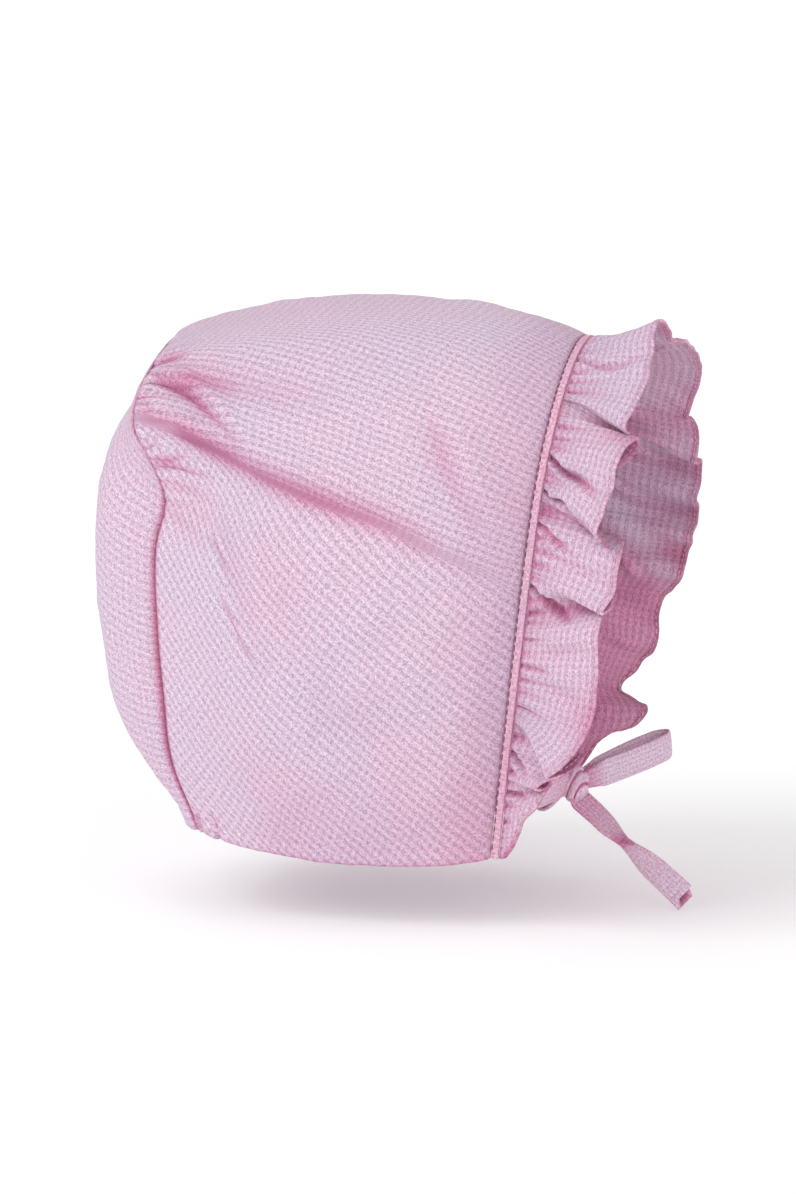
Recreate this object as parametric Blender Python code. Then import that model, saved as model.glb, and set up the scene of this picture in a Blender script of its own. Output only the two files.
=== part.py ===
"""A baby's bonnet of thin cotton with a gathered back, a frilled face edge and ties in a bow.

Metres, +Z up. The face opening looks towards -Y and the wearer's right is at -X. The origin is the inner
top of the crown, where the head carries it.
"""

import math

import bmesh
import bpy
import numpy as np
from mathutils import Vector

# Cloth and seams
CLOTH = 0.0012
FRILL_CLOTH = 0.0010
SEAM_GAP = 0.0003

# Cap: how far its edges lie ahead of, behind and below the inner top of the crown
FACE_REACH = 0.0700
FACE_DIP = 0.0112
FACE_SLANT = 0.0190
FACE_HALF_WIDTH = 0.0505
SEAM_REACH = 0.0520
SEAM_DIP = 0.0128
SEAM_HALF_WIDTH = 0.0485
SEAM_DROP = 0.1420
NECK_SLOPE = 0.0060
FACE_DROP = SEAM_DROP + NECK_SLOPE
CROWN_RISE = 0.0114
CROWN_ROUNDNESS = 0.8
NECK_SAG = 0.0038
BACK_BULGE = 0.0255
BACK_ROUNDNESS = 0.6

# Gathers and folds of the cap
GATHER_COUNT = 7
GATHER_START = 0.04
GATHER_END = 0.40
GATHER_DEPTH = 0.0032
GATHER_CREST = 0.0060
GATHER_REACH = 0.0300
FOLD_DEPTH = 0.0040
FOLD_WIDTH = 0.0070
FOLD_RIDGE = 0.45
FOLD_RIDGE_ASIDE = 1.5
FOLD_SKEW = 0.6

# Face edge
BINDING_WIDTH = 0.0024
BINDING_THICKNESS = 0.0018
FRILL_WIDTH = 0.0298
FRILL_LEAN_CURVE = 1.4
FRILL_FLARE_CURVE = 1.2

# Ties and bow
TIE_WIDTH = 0.0084
TIE_THICKNESS = 0.0014
TIE_START = 0.90
TIE_SAG = 0.0020
KNOT_AHEAD = 0.0155
KNOT_LIFT = 0.0007
KNOT_SIZE = (0.0100, 0.0088, 0.0110)
LOOP_LENGTH = 0.0398
LOOP_OPENING = 0.0085
SMALL_LOOP_LENGTH = 0.0080
SMALL_LOOP_OPENING = 0.0054
LONG_TAIL_LENGTH = 0.0430
SHORT_TAIL_LENGTH = 0.0300

# The ways in which the pieces of the bow leave the knot, and that of the ties' width where they meet it
LEFT_LOOP_WAY = (0.86, -0.50, 0.13)
RIGHT_LOOP_WAY = (0.05, 0.80, -0.45)
LONG_TAIL_WAY = (-0.10, -0.40, -0.90)
SHORT_TAIL_WAY = (0.45, 0.65, 0.60)
TIE_END_ACROSS = (0.0, 0.30, -0.85)

# How finely the curved sheets are divided
CURVE_SAMPLES = 400
GATHER_COLUMNS = 24
GATHER_COLUMNS_END = 0.48
SHOULDER_COLUMN = 17
SIDE_COLUMNS = 11
SEAM_ROWS = 6
CROWN_ROWS = 9
BINDING_STATIONS = 56
FRILL_STEPS = 2
FRILL_ROWS = 5
STRAP_STATIONS = 15

# Half of the face edge, top to lower corner: across and down as shares of its half width and drop
FACE_EDGE = (
    ("across", "down"),
    (0.00, 0.000),
    (0.26, 0.012),
    (0.50, 0.045),
    (0.71, 0.098),
    (0.87, 0.168),
    (0.97, 0.250),
    (1.00, 0.335),
    (0.99, 0.450),
    (0.95, 0.600),
    (0.88, 0.800),
    (0.80, 1.000),
)

# Half of the back seam, top to neck: shares of its half width, of its drop and of its reach
BACK_SEAM = (
    ("across", "down", "back"),
    (0.00, 0.000, 1.00),
    (0.30, 0.020, 1.02),
    (0.52, 0.060, 1.06),
    (0.68, 0.110, 1.09),
    (0.79, 0.160, 1.08),
    (0.87, 0.220, 0.97),
    (0.93, 0.290, 0.87),
    (0.98, 0.400, 0.91),
    (1.00, 0.570, 0.90),
    (0.98, 0.720, 0.87),
    (0.91, 0.840, 0.85),
    (0.83, 1.000, 0.70),
)

# How far the crown stands out between face edge and back seam, as a share of its rise
CROWN_SWELL = (
    ("round", "rise"),
    (0.00, 1.00),
    (0.25, 1.00),
    (0.50, 1.12),
    (0.75, 0.95),
    (1.00, 0.50),
)

# How far the middle of the back panel stands behind its seam, top to neck, as a share of the bulge
BACK_PROFILE = (
    ("down", "bulge"),
    (0.00, 0.00),
    (0.07, 0.34),
    (0.16, 0.67),
    (0.28, 0.82),
    (0.42, 0.92),
    (0.55, 0.95),
    (0.70, 0.92),
    (0.80, 0.76),
    (0.88, 0.54),
    (0.94, 0.38),
    (1.00, 0.36),
)

# Folds of the crown: where each starts and ends, as shares round from the top and forward from the back
# seam, and its depth and width as shares of the named ones
CROWN_FOLDS = (
    ("start_round", "start_forward", "end_round", "end_forward", "depth", "width"),
    (0.170, 0.00, 0.270, 0.55, 0.30, 1.30),
    (0.175, 0.00, 0.290, 0.23, 0.50, 0.70),
    (0.245, 0.00, 0.500, 0.88, 1.00, 1.00),
    (0.320, 0.00, 0.350, 0.20, 0.35, 0.60),
    (0.400, 0.12, 0.740, 0.35, 0.20, 0.90),
    (0.290, 0.74, 0.460, 0.90, -0.20, 1.40),
    (0.760, 0.45, 0.820, 0.85, 0.25, 1.80),
)

# Edges of the frill's folds, top to corner, wearer's right: place on the face edge, how far along and out
# the free edge lies as shares of the frill's width there, and that width as a share of the full one
RIGHT_FRILL = (
    ("place", "along", "out", "width"),
    (0.060, 0.36, 0.43, 1.00),
    (0.110, 0.38, 0.37, 1.00),
    (0.170, 0.32, 0.36, 1.00),
    (0.205, 0.40, 0.38, 1.00),
    (0.225, 0.45, 0.26, 1.00),
    (0.242, 0.25, 0.00, 1.00),
    (0.265, 0.20, 0.20, 1.00),
    (0.290, 0.20, 0.52, 1.00),
    (0.325, 0.20, 0.58, 1.00),
    (0.352, 0.30, 0.60, 1.00),
    (0.370, 0.40, 0.58, 1.00),
    (0.386, 0.20, 0.20, 1.00),
    (0.410, 0.05, 0.12, 1.00),
    (0.436, 0.05, 0.42, 1.00),
    (0.487, -0.02, 0.50, 1.00),
    (0.520, 0.02, 0.56, 1.00),
    (0.545, -0.15, 0.20, 1.00),
    (0.575, -0.34, 0.10, 1.00),
    (0.606, -0.37, 0.51, 1.00),
    (0.660, -0.24, 0.52, 1.00),
    (0.712, -0.10, 0.55, 1.00),
    (0.738, 0.14, 0.68, 0.98),
    (0.755, 0.30, 0.79, 0.94),
    (0.775, 0.05, 0.40, 0.86),
    (0.802, -0.09, 0.45, 0.80),
    (0.832, -0.11, 0.77, 0.74),
    (0.858, -0.20, 0.80, 0.66),
    (0.880, -0.42, 0.50, 0.60),
    (0.905, -0.45, 0.55, 0.56),
    (0.945, -0.46, 0.62, 0.36),
    (1.000, -0.40, 0.40, 0.08),
)

# The same on the wearer's left
LEFT_FRILL = (
    ("place", "along", "out", "width"),
    (0.030, -0.52, 0.02, 1.00),
    (0.085, -0.46, -0.05, 1.00),
    (0.130, -0.35, -0.06, 1.00),
    (0.160, -0.10, -0.02, 0.98),
    (0.220, 0.40, 0.12, 1.00),
    (0.275, 0.55, 0.25, 1.00),
    (0.290, 0.40, 0.36, 1.00),
    (0.315, 0.25, 0.20, 1.00),
    (0.350, 0.15, -0.10, 1.01),
    (0.385, 0.10, 0.24, 1.05),
    (0.425, 0.10, -0.08, 1.05),
    (0.465, 0.05, 0.22, 1.07),
    (0.505, 0.00, -0.06, 1.06),
    (0.545, -0.03, 0.25, 1.03),
    (0.575, 0.00, 0.12, 1.00),
    (0.602, 0.04, 0.52, 1.00),
    (0.640, 0.07, 0.69, 1.00),
    (0.690, 0.15, 0.65, 1.00),
    (0.730, 0.11, 0.79, 1.00),
    (0.775, 0.18, 0.84, 0.86),
    (0.805, 0.06, 0.70, 0.90),
    (0.830, -0.05, 0.46, 0.90),
    (0.860, -0.13, 0.42, 0.85),
    (0.885, -0.23, 0.50, 0.76),
    (0.930, -0.45, 0.55, 0.50),
    (1.000, -0.40, 0.40, 0.10),
)

# The bow's loops seen from above: shares of the loop's length and of half its opening
LOOP_OUTLINE = (
    ("along", "aside"),
    (0.00, 0.32),
    (0.22, 0.64),
    (0.50, 0.95),
    (0.80, 1.00),
    (0.96, 0.62),
    (1.00, 0.00),
    (0.95, -0.62),
    (0.78, -0.98),
    (0.50, -0.92),
    (0.22, -0.64),
    (0.00, -0.32),
)

# The long tail: shares of its length forward, aside and down, and the roll of its face in degrees
LONG_TAIL = (
    ("forward", "aside", "down", "roll"),
    (0.00, 0.00, 0.00, 55.0),
    (0.12, -0.01, 0.10, 58.0),
    (0.25, -0.03, 0.22, 70.0),
    (0.36, -0.05, 0.31, 125.0),
    (0.52, -0.07, 0.44, 142.0),
    (0.64, -0.08, 0.54, 148.0),
    (0.75, -0.08, 0.64, 150.0),
)

# The short tail, behind the knot
SHORT_TAIL = (
    ("forward", "aside", "down", "roll"),
    (0.00, 0.00, 0.00, 0.0),
    (-0.25, 0.15, -0.16, 0.0),
    (-0.53, 0.35, -0.10, 8.0),
    (-0.78, 0.52, 0.08, 15.0),
)

FORWARD = np.array((0.0, -1.0, 0.0))
SIDEWAYS = np.array((1.0, 0.0, 0.0))
UPWARD = np.array((0.0, 0.0, 1.0))


def rows_of(table):
    """The numbers of a table, without its row of column names."""
    return np.array(table[1:], float)


def unit(vectors):
    return vectors / np.linalg.norm(vectors, axis=-1, keepdims=True)


def through(knots, values, at):
    """Values on a smooth curve that passes through the given ones."""
    values = np.asarray(values, float)
    at = np.asarray(at, float)
    slopes = np.gradient(values, knots, axis=0)
    left = np.clip(np.searchsorted(knots, at) - 1, 0, len(knots) - 2)
    step = (knots[left + 1] - knots[left])[..., None]
    t = (at - knots[left])[..., None] / step
    return (
        (2 * t**3 - 3 * t**2 + 1) * values[left]
        + (t**3 - 2 * t**2 + t) * step * slopes[left]
        + (3 * t**2 - 2 * t**3) * values[left + 1]
        + (t**3 - t**2) * step * slopes[left + 1]
    )


def read_table(table, at):
    """The second column of a table at values of its first."""
    rows = rows_of(table)
    return through(rows[:, 0], rows[:, 1:2], at)[..., 0]


def lengths_along(points):
    steps = np.linalg.norm(np.diff(points, axis=0), axis=1)
    return np.concatenate(([0.0], np.cumsum(steps)))


def smooth_path(points, count):
    """Points evenly spaced along a smooth curve through the given ones."""
    knots = lengths_along(points)
    dense = through(knots, points, np.linspace(0, knots[-1], CURVE_SAMPLES))
    run = lengths_along(dense)
    at = np.linspace(0, run[-1], count)
    return np.stack([np.interp(at, run, dense[:, axis]) for axis in range(3)], axis=1)


class Edge:
    """A symmetric edge of the cap, read by the share round it: -1 right corner, 0 top, 1 left corner."""

    def __init__(self, half):
        points = np.vstack([half[:0:-1] * (-1, 1, 1), half])
        self.path = smooth_path(points, 2 * CURVE_SAMPLES + 1)
        self.half_length = lengths_along(self.path)[-1] / 2
        self.places = np.linspace(-1, 1, len(self.path))
        tangents = unit(np.gradient(self.path, axis=0))
        self.outward = unit(np.stack([-tangents[:, 2], 0 * tangents[:, 1], tangents[:, 0]], axis=1))
        self.tangents = tangents

    def read(self, values, at):
        return np.stack([np.interp(at, self.places, values[:, axis]) for axis in range(3)], axis=-1)

    def point(self, at):
        return self.read(self.path, at)

    def normal(self, at):
        return unit(self.read(self.outward, at))

    def tangent(self, at):
        return unit(self.read(self.tangents, at))


def face_edge():
    rows = rows_of(FACE_EDGE)
    down = rows[:, 1]
    half = np.stack(
        [
            rows[:, 0] * FACE_HALF_WIDTH,
            -FACE_REACH + down * FACE_SLANT,
            -FACE_DIP - down * FACE_DROP,
        ],
        axis=1,
    )
    return Edge(half)


def back_seam():
    rows = rows_of(BACK_SEAM)
    half = np.stack(
        [
            rows[:, 0] * SEAM_HALF_WIDTH,
            rows[:, 2] * SEAM_REACH,
            -SEAM_DIP - rows[:, 1] * SEAM_DROP,
        ],
        axis=1,
    )
    return Edge(half)


FACE = face_edge()
SEAM = back_seam()
SHOULDER = GATHER_COLUMNS_END * SHOULDER_COLUMN / GATHER_COLUMNS


def gathers(place, behind):
    """Ripples of the crown where it is drawn into the back seam, by place and distance from the seam."""
    share = (np.abs(place) - GATHER_START) / (GATHER_END - GATHER_START)
    window = np.sin(np.pi * np.clip(share, 0, 1)) ** 0.5
    ripple = np.sin(np.pi * GATHER_COUNT * share) ** 2
    near = behind / GATHER_CREST
    return GATHER_DEPTH * window * ripple * near * np.exp(1 - near)


def folds(place, forward):
    """Depth of the crown's long folds, by place round and share forward from the back seam."""
    length = FACE_REACH + SEAM_REACH
    at = np.stack([np.abs(place) * SEAM.half_length, forward * length], axis=-1)
    total = np.zeros(np.shape(place))
    for start_round, start_forward, end_round, end_forward, depth, width in rows_of(CROWN_FOLDS):
        start = np.array([start_round * SEAM.half_length, start_forward * length])
        way = np.array([end_round * SEAM.half_length, end_forward * length]) - start
        run = np.linalg.norm(way)
        way /= run
        along = np.clip((at - start) @ way / run, 0, 1)
        across = (at - start) @ np.array([way[1], -way[0]]) / (FOLD_WIDTH * width)
        valley = np.exp(-(across**2)) - FOLD_RIDGE * np.exp(-((across + FOLD_RIDGE_ASIDE) ** 2))
        total -= FOLD_DEPTH * depth * valley * np.sin(np.pi * along**FOLD_SKEW)
    from_edges = np.minimum(forward, 1 - forward) * length
    return total * np.clip(from_edges / FOLD_WIDTH, 0, 1)


def crown_surface(place, forward):
    """Inner face of the crown and the way out of it, by place round and share forward from the back seam."""
    half_gap = np.array((0.0, SEAM_GAP / 2, 0.0))
    seam = SEAM.point(place) - half_gap
    face = FACE.point(place) + half_gap
    share = forward[..., None]
    points = seam + (face - seam) * share
    outward = unit(SEAM.normal(place) * (1 - share) + FACE.normal(place) * share)
    swell = np.clip(4 * forward * (1 - forward), 0, 1) ** CROWN_ROUNDNESS
    rise = CROWN_RISE * read_table(CROWN_SWELL, np.abs(place)) * swell
    behind = forward * (FACE_REACH + SEAM_REACH)
    relief = gathers(place, behind) + folds(place, forward)
    points = points + outward * (rise + relief)[..., None]
    points[..., 2] -= NECK_SAG * swell * np.abs(place) ** 6
    return points, outward


def back_surface(across, down):
    """Inner face of the back panel and the way out of it, by shares from side to side and top to neck."""
    side = SHOULDER + (1 - SHOULDER) * down
    left, right = SEAM.point(side), SEAM.point(-side)
    top = SEAM.point(SHOULDER * across)
    low_left, low_right = SEAM.point(1.0), SEAM.point(-1.0)
    high_left, high_right = SEAM.point(SHOULDER), SEAM.point(-SHOULDER)
    c = ((across + 1) / 2)[..., None]
    r = down[..., None]
    bottom = low_right + (low_left - low_right) * c
    corners = (high_right * (1 - c) + high_left * c) * (1 - r) + (low_right * (1 - c) + low_left * c) * r
    points = right * (1 - c) + left * c + top * (1 - r) + bottom * r - corners
    arch = np.clip(1 - across**2, 0, 1) ** BACK_ROUNDNESS
    points[..., 1] += SEAM_GAP / 2 + BACK_BULGE * arch * read_table(BACK_PROFILE, down)
    rim = np.where(np.abs(across) > 1 - down, np.sign(across) * side, SHOULDER * across)
    return points, SEAM.normal(rim)


def sheet_normals(points):
    """Unit normals of a grid of points, on the left of its rows."""
    normals = np.cross(np.gradient(points, axis=0), np.gradient(points, axis=1))
    return unit(normals)


def new_object(name, mesh_builder, material):
    mesh = bpy.data.meshes.new(name)
    bm = bmesh.new()
    mesh_builder(bm)
    bmesh.ops.recalc_face_normals(bm, faces=bm.faces)
    bm.to_mesh(mesh)
    bm.free()
    mesh.shade_smooth()
    mesh.set_sharp_from_angle(angle=math.radians(50))
    mesh.materials.append(material)
    made = bpy.data.objects.new(name, mesh)
    bpy.context.scene.collection.objects.link(made)
    return made


def closed_wall(inner, outer):
    """A builder of the closed shell between two grids of points."""
    rows, columns = inner.shape[:2]

    def build(bm):
        near = [[bm.verts.new(inner[i, j]) for j in range(columns)] for i in range(rows)]
        far = [[bm.verts.new(outer[i, j]) for j in range(columns)] for i in range(rows)]
        for grid in (near, far):
            for i in range(rows - 1):
                for j in range(columns - 1):
                    bm.faces.new((grid[i][j], grid[i][j + 1], grid[i + 1][j + 1], grid[i + 1][j]))
        rim = [(0, j) for j in range(columns)]
        rim += [(i, columns - 1) for i in range(1, rows)]
        rim += [(rows - 1, j) for j in range(columns - 2, -1, -1)]
        rim += [(i, 0) for i in range(rows - 2, 0, -1)]
        for (i, j), (k, m) in zip(rim, rim[1:] + rim[:1]):
            bm.faces.new((near[i][j], near[k][m], far[k][m], far[i][j]))

    return build


def swept(sections):
    """A builder of the closed solid through a row of like sections, flat at both ends."""

    def build(bm):
        rings = [[bm.verts.new(point) for point in section] for section in sections]
        for ring, following in zip(rings, rings[1:]):
            for k in range(len(ring)):
                n = (k + 1) % len(ring)
                bm.faces.new((ring[k], ring[n], following[n], following[k]))
        bm.faces.new(rings[0][::-1])
        bm.faces.new(rings[-1])

    return build


def cloth_material(name, colour, roughness):
    material = bpy.data.materials.new(name)
    material.use_nodes = True
    shader = material.node_tree.nodes["Principled BSDF"]
    shader.inputs["Base Color"].default_value = (*colour, 1.0)
    shader.inputs["Roughness"].default_value = roughness
    shader.inputs["Metallic"].default_value = 0.0
    material.diffuse_color = (*colour, 1.0)
    return material


def seam_places():
    """Places down one side of the back seam, close together where the cloth is gathered."""
    gathered = np.linspace(0, GATHER_COLUMNS_END, GATHER_COLUMNS + 1)
    plain = np.linspace(GATHER_COLUMNS_END, 1, SIDE_COLUMNS + 1)[1:]
    return np.concatenate([gathered, plain])


def make_crown(material):
    half = seam_places()
    places = np.concatenate([-half[:0:-1], half])
    seam_end = GATHER_REACH / (FACE_REACH + SEAM_REACH)
    near_seam = np.linspace(0, 1, SEAM_ROWS) ** 1.3 * seam_end
    rest = np.linspace(seam_end, 1, CROWN_ROWS + 1)[1:]
    forwards = np.concatenate([near_seam, rest])
    place, forward = np.meshgrid(places, forwards)
    inner, outward = crown_surface(place, forward)
    way = sheet_normals(inner)
    way[0], way[-1] = outward[0], outward[-1]
    return new_object("crown_panel", closed_wall(inner, inner + way * CLOTH), material)


def make_back(material):
    places = seam_places()
    across = places[: SHOULDER_COLUMN + 1] / SHOULDER
    down = (places[SHOULDER_COLUMN:] - SHOULDER) / (1 - SHOULDER)
    c, r = np.meshgrid(np.concatenate([-across[:0:-1], across]), down)
    inner, rim = back_surface(c, r)
    way = -sheet_normals(inner)
    way[0], way[:, 0], way[:, -1] = rim[0], rim[:, 0], rim[:, -1]
    return new_object("back_panel", closed_wall(inner, inner + way * CLOTH), material)


def face_frame(place):
    """Point, forward, out and along directions of the face edge."""
    along = FACE.tangent(place)
    out = FACE.normal(place)
    ahead = unit(np.cross(along, out))
    return FACE.point(place), ahead * np.sign(ahead @ FORWARD)[..., None], out, along


def make_binding(material):
    point, ahead, out, _ = face_frame(np.linspace(-1, 1, BINDING_STATIONS + 1))
    low = (CLOTH - BINDING_THICKNESS) / 2
    high = low + BINDING_THICKNESS
    back = SEAM_GAP / 2
    front = back + BINDING_WIDTH
    outline = ((back, low), (front, low), (front, high), ((back + front) / 2, high), (back, high))
    sections = np.stack([point + ahead * f + out * h for f, h in outline], axis=1)
    return new_object("front_binding", swept(sections), material)


def make_frill(material):
    right, left = rows_of(RIGHT_FRILL), rows_of(LEFT_FRILL)
    right[:, 0] *= -1
    left[:, 1] *= -1
    table = np.vstack([right[::-1], left])
    at = np.linspace(0, len(table) - 1, FRILL_STEPS * (len(table) - 1) + 1)
    place, along_share, out_share, width_share = through(np.arange(len(table)), table, at).T
    reach_share = np.sqrt(np.clip(1 - along_share**2 - out_share**2, 0.05, 1))
    point, ahead, out, along = face_frame(place)
    root = point + ahead * (SEAM_GAP * 1.5 + BINDING_WIDTH) + out * (CLOTH / 2)
    width = (FRILL_WIDTH * width_share)[:, None]
    rows = []
    for share in np.linspace(0, 1, FRILL_ROWS + 1):
        reach = ahead * reach_share[:, None] * share
        lean = along * (along_share * -share**FRILL_LEAN_CURVE)[:, None]
        flare = out * (out_share * share**FRILL_FLARE_CURVE)[:, None]
        rows.append(root + width * (reach + lean + flare))
    middle = np.array(rows)
    way = sheet_normals(middle)
    way[0] = out
    half = way * (FRILL_CLOTH / 2)
    return new_object("ruffle", closed_wall(middle - half, middle + half), material)


def strap_sections(path, across):
    """Flat sections with thin edges along a path, their width along the given directions."""
    tangents = unit(np.gradient(path, axis=0))
    across = unit(across - tangents * np.sum(across * tangents, axis=1)[:, None])
    face = np.cross(tangents, across)
    half, thin = TIE_WIDTH / 2, TIE_THICKNESS / 2
    flat = half - thin
    outline = ((half, 0), (flat, thin), (-flat, thin), (-half, 0), (-flat, -thin), (flat, -thin))
    return np.stack([path + across * w + face * h for w, h in outline], axis=1)


def knot_place():
    _, ahead, _, _ = face_frame(np.array([TIE_START]))
    corner = FACE.point(np.array([TIE_START]))[0]
    place = corner * (0, 1, 1) + ahead[0] * (0, 1, 1) * KNOT_AHEAD
    return place + UPWARD * (KNOT_LIFT - TIE_SAG)


def knot_surface(way):
    """Where a piece that leaves the knot in this direction starts, a seam gap clear of it."""
    way = unit(np.array(way))
    radius = 1 / np.linalg.norm(way / (np.array(KNOT_SIZE) / 2))
    return knot_place() + way * (radius + SEAM_GAP)


def make_tie(name, side, material):
    place = np.array([TIE_START * side])
    point, ahead, out, along = (value[0] for value in face_frame(place))
    anchor = point - out * (SEAM_GAP + BINDING_THICKNESS / 2 + TIE_THICKNESS / 2)
    target = knot_surface(anchor - knot_place())
    shares = np.linspace(0, 1, 5)[:, None]
    route = anchor + (target - anchor) * shares - UPWARD * TIE_SAG * np.sin(np.pi * shares)
    path = smooth_path(route, STRAP_STATIONS)
    turn = np.linspace(0, 1, len(path))[:, None]
    across = along * side * (1 - turn) + np.array(TIE_END_ACROSS) * turn
    return new_object(name, swept(strap_sections(path, across)), material)


def make_loop(name, way, width_way, length, opening, material):
    """A loop of tie that leaves the knot and comes back, its width lying along width_way."""
    way = unit(np.array(way))
    aside = unit(np.cross(width_way, way))
    rows = rows_of(LOOP_OUTLINE)
    start = knot_surface(way)
    route = start + rows[:, :1] * way * length + rows[:, 1:] * aside * opening / 2
    path = smooth_path(route, 2 * STRAP_STATIONS)
    across = np.tile(np.cross(way, aside), (len(path), 1))
    return new_object(name, swept(strap_sections(path, across)), material)


def make_tail(name, table, way, length, material):
    rows = rows_of(table)
    start = knot_surface(way)
    route = start + length * (rows[:, :1] * FORWARD + rows[:, 1:2] * SIDEWAYS - rows[:, 2:3] * UPWARD)
    path = smooth_path(route, STRAP_STATIONS)
    share = lengths_along(path) / lengths_along(path)[-1]
    row_share = lengths_along(route) / lengths_along(route)[-1]
    roll = np.radians(through(row_share, rows[:, 3:4], share))
    tangents = unit(np.gradient(path, axis=0))
    flat = unit(np.cross(tangents, np.tile(SIDEWAYS, (len(path), 1))))
    across = flat * np.cos(roll) + SIDEWAYS * np.sin(roll)
    return new_object(name, swept(strap_sections(path, across)), material)


def make_knot(material):
    def build(bm):
        bmesh.ops.create_uvsphere(bm, u_segments=14, v_segments=10, radius=0.5)
        for vert in bm.verts:
            vert.co = Vector(size * value for size, value in zip(KNOT_SIZE, vert.co))

    knot = new_object("bow_knot", build, material)
    knot.location = knot_place()
    return knot


def main():
    for old in list(bpy.data.objects):
        bpy.data.objects.remove(old)
    check = cloth_material("pink_check", (0.72, 0.50, 0.61), 0.85)
    back_check = cloth_material("pink_check_back", (0.78, 0.56, 0.68), 0.85)
    edge = cloth_material("pink_binding", (0.66, 0.38, 0.50), 0.8)
    frill = cloth_material("pink_frill", (0.70, 0.51, 0.60), 0.85)
    tie = cloth_material("pink_tie", (0.74, 0.56, 0.66), 0.8)
    pieces = [
        make_crown(check),
        make_back(back_check),
        make_binding(edge),
        make_frill(frill),
        make_tie("right_tie", -1, tie),
        make_tie("left_tie", 1, tie),
        make_knot(tie),
        make_loop("left_loop", LEFT_LOOP_WAY, UPWARD, LOOP_LENGTH, LOOP_OPENING, tie),
        make_loop("right_loop", RIGHT_LOOP_WAY, SIDEWAYS, SMALL_LOOP_LENGTH, SMALL_LOOP_OPENING, tie),
        make_tail("long_tail", LONG_TAIL, LONG_TAIL_WAY, LONG_TAIL_LENGTH, tie),
        make_tail("short_tail", SHORT_TAIL, SHORT_TAIL_WAY, SHORT_TAIL_LENGTH, tie),
    ]
    bonnet = bpy.data.objects.new("bonnet", None)
    bpy.context.scene.collection.objects.link(bonnet)
    for piece in pieces:
        piece.parent = bonnet


main()
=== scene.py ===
"""Dresses the packed baby bonnet: checked cotton, gathers, folds, stitched frill, ties in a bow."""

import math

import bmesh
import bpy
import numpy as np
from bpy.props import FloatProperty, FloatVectorProperty, PointerProperty
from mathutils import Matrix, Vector


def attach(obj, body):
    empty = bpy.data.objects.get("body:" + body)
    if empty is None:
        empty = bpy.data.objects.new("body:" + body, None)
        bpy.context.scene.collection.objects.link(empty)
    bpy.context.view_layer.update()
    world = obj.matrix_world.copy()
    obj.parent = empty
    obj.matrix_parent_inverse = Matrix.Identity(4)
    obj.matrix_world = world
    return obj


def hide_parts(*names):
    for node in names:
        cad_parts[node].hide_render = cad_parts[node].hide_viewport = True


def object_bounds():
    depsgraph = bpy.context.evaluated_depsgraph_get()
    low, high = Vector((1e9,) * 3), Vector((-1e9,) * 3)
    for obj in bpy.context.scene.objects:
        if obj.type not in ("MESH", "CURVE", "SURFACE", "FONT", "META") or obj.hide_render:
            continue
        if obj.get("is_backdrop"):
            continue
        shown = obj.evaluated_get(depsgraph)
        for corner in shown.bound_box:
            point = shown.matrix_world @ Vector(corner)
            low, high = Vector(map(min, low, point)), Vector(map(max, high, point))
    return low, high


bl_info = {
    "name": "Baby bonnet",
    "version": (1, 0, 0),
    "blender": (4, 5, 0),
    "location": "View3D > Sidebar > Bonnet",
    "description": "Makes the cloth, stitches and ties of a ruffled baby bonnet over its packed solids",
    "category": "Object",
}

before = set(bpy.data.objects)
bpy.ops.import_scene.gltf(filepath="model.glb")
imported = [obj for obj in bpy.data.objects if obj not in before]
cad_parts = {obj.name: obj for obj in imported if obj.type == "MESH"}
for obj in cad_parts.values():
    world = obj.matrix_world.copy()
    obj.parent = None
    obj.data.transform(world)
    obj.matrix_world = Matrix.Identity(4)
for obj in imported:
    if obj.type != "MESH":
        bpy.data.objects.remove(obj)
CAD_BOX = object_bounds()
BODY = "root"

# The cap's form, in metres, as in the part's source
CLOTH = 0.0012
SEAM_GAP = 0.0003
SEAM_CLOSE = 0.00018
FACE_REACH = 0.0700
FACE_DIP = 0.0112
FACE_SLANT = 0.0190
FACE_HALF_WIDTH = 0.0505
FACE_DROP = 0.1480
SEAM_REACH = 0.0520
SEAM_DIP = 0.0128
SEAM_HALF_WIDTH = 0.0485
SEAM_DROP = 0.1420
CROWN_RISE = 0.0114
CROWN_ROUNDNESS = 0.8
NECK_SAG = 0.0038
BACK_BULGE = 0.0255
BACK_ROUNDNESS = 0.6
SHOULDER = 0.34
BINDING_WIDTH = 0.0024
BINDING_THICKNESS = 0.0018
FRILL_WIDTH = 0.0298
FRILL_LEAN_CURVE = 1.4
FRILL_FLARE_CURVE = 1.2
TIE_WIDTH = 0.0084
TIE_THICKNESS = 0.0014
TIE_START = 0.90
TIE_SAG = 0.0020
KNOT_AHEAD = 0.0155
KNOT_LIFT = 0.0007
KNOT_SIZE = (0.0100, 0.0088, 0.0110)
KNOT_GRIP = 0.45
LOOP_LENGTH = 0.0398
LOOP_OPENING = 0.0060
SMALL_LOOP_LENGTH = 0.0080
SMALL_LOOP_OPENING = 0.0054
LONG_TAIL_LENGTH = 0.0430
SHORT_TAIL_LENGTH = 0.0300
LEFT_LOOP_WAY = (0.86, -0.50, 0.13)
RIGHT_LOOP_WAY = (0.05, 0.80, -0.45)
LONG_TAIL_WAY = (-0.10, -0.40, -0.90)
SHORT_TAIL_WAY = (0.45, 0.65, 0.60)
TIE_END_ACROSS = (0.0, 0.30, -0.85)
CURVE_SAMPLES = 400

# Cloth walls: the inner face's lift from the plain form, how far an edge rolls in at its seam and how soon that
# dies out, where the neck's hem ends, what it adds outside and what share of that inside, the roundness of a rim
WALL_INSET = 0.00035
SEAM_ROLL = 0.00055
ROLL_REACH = 0.0007
NECK_HEM = (0.0036, 0.0046)
HEM_THICKER = 0.00035
HEM_INSIDE = 0.6
RIM_ROUND = 0.22

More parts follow.
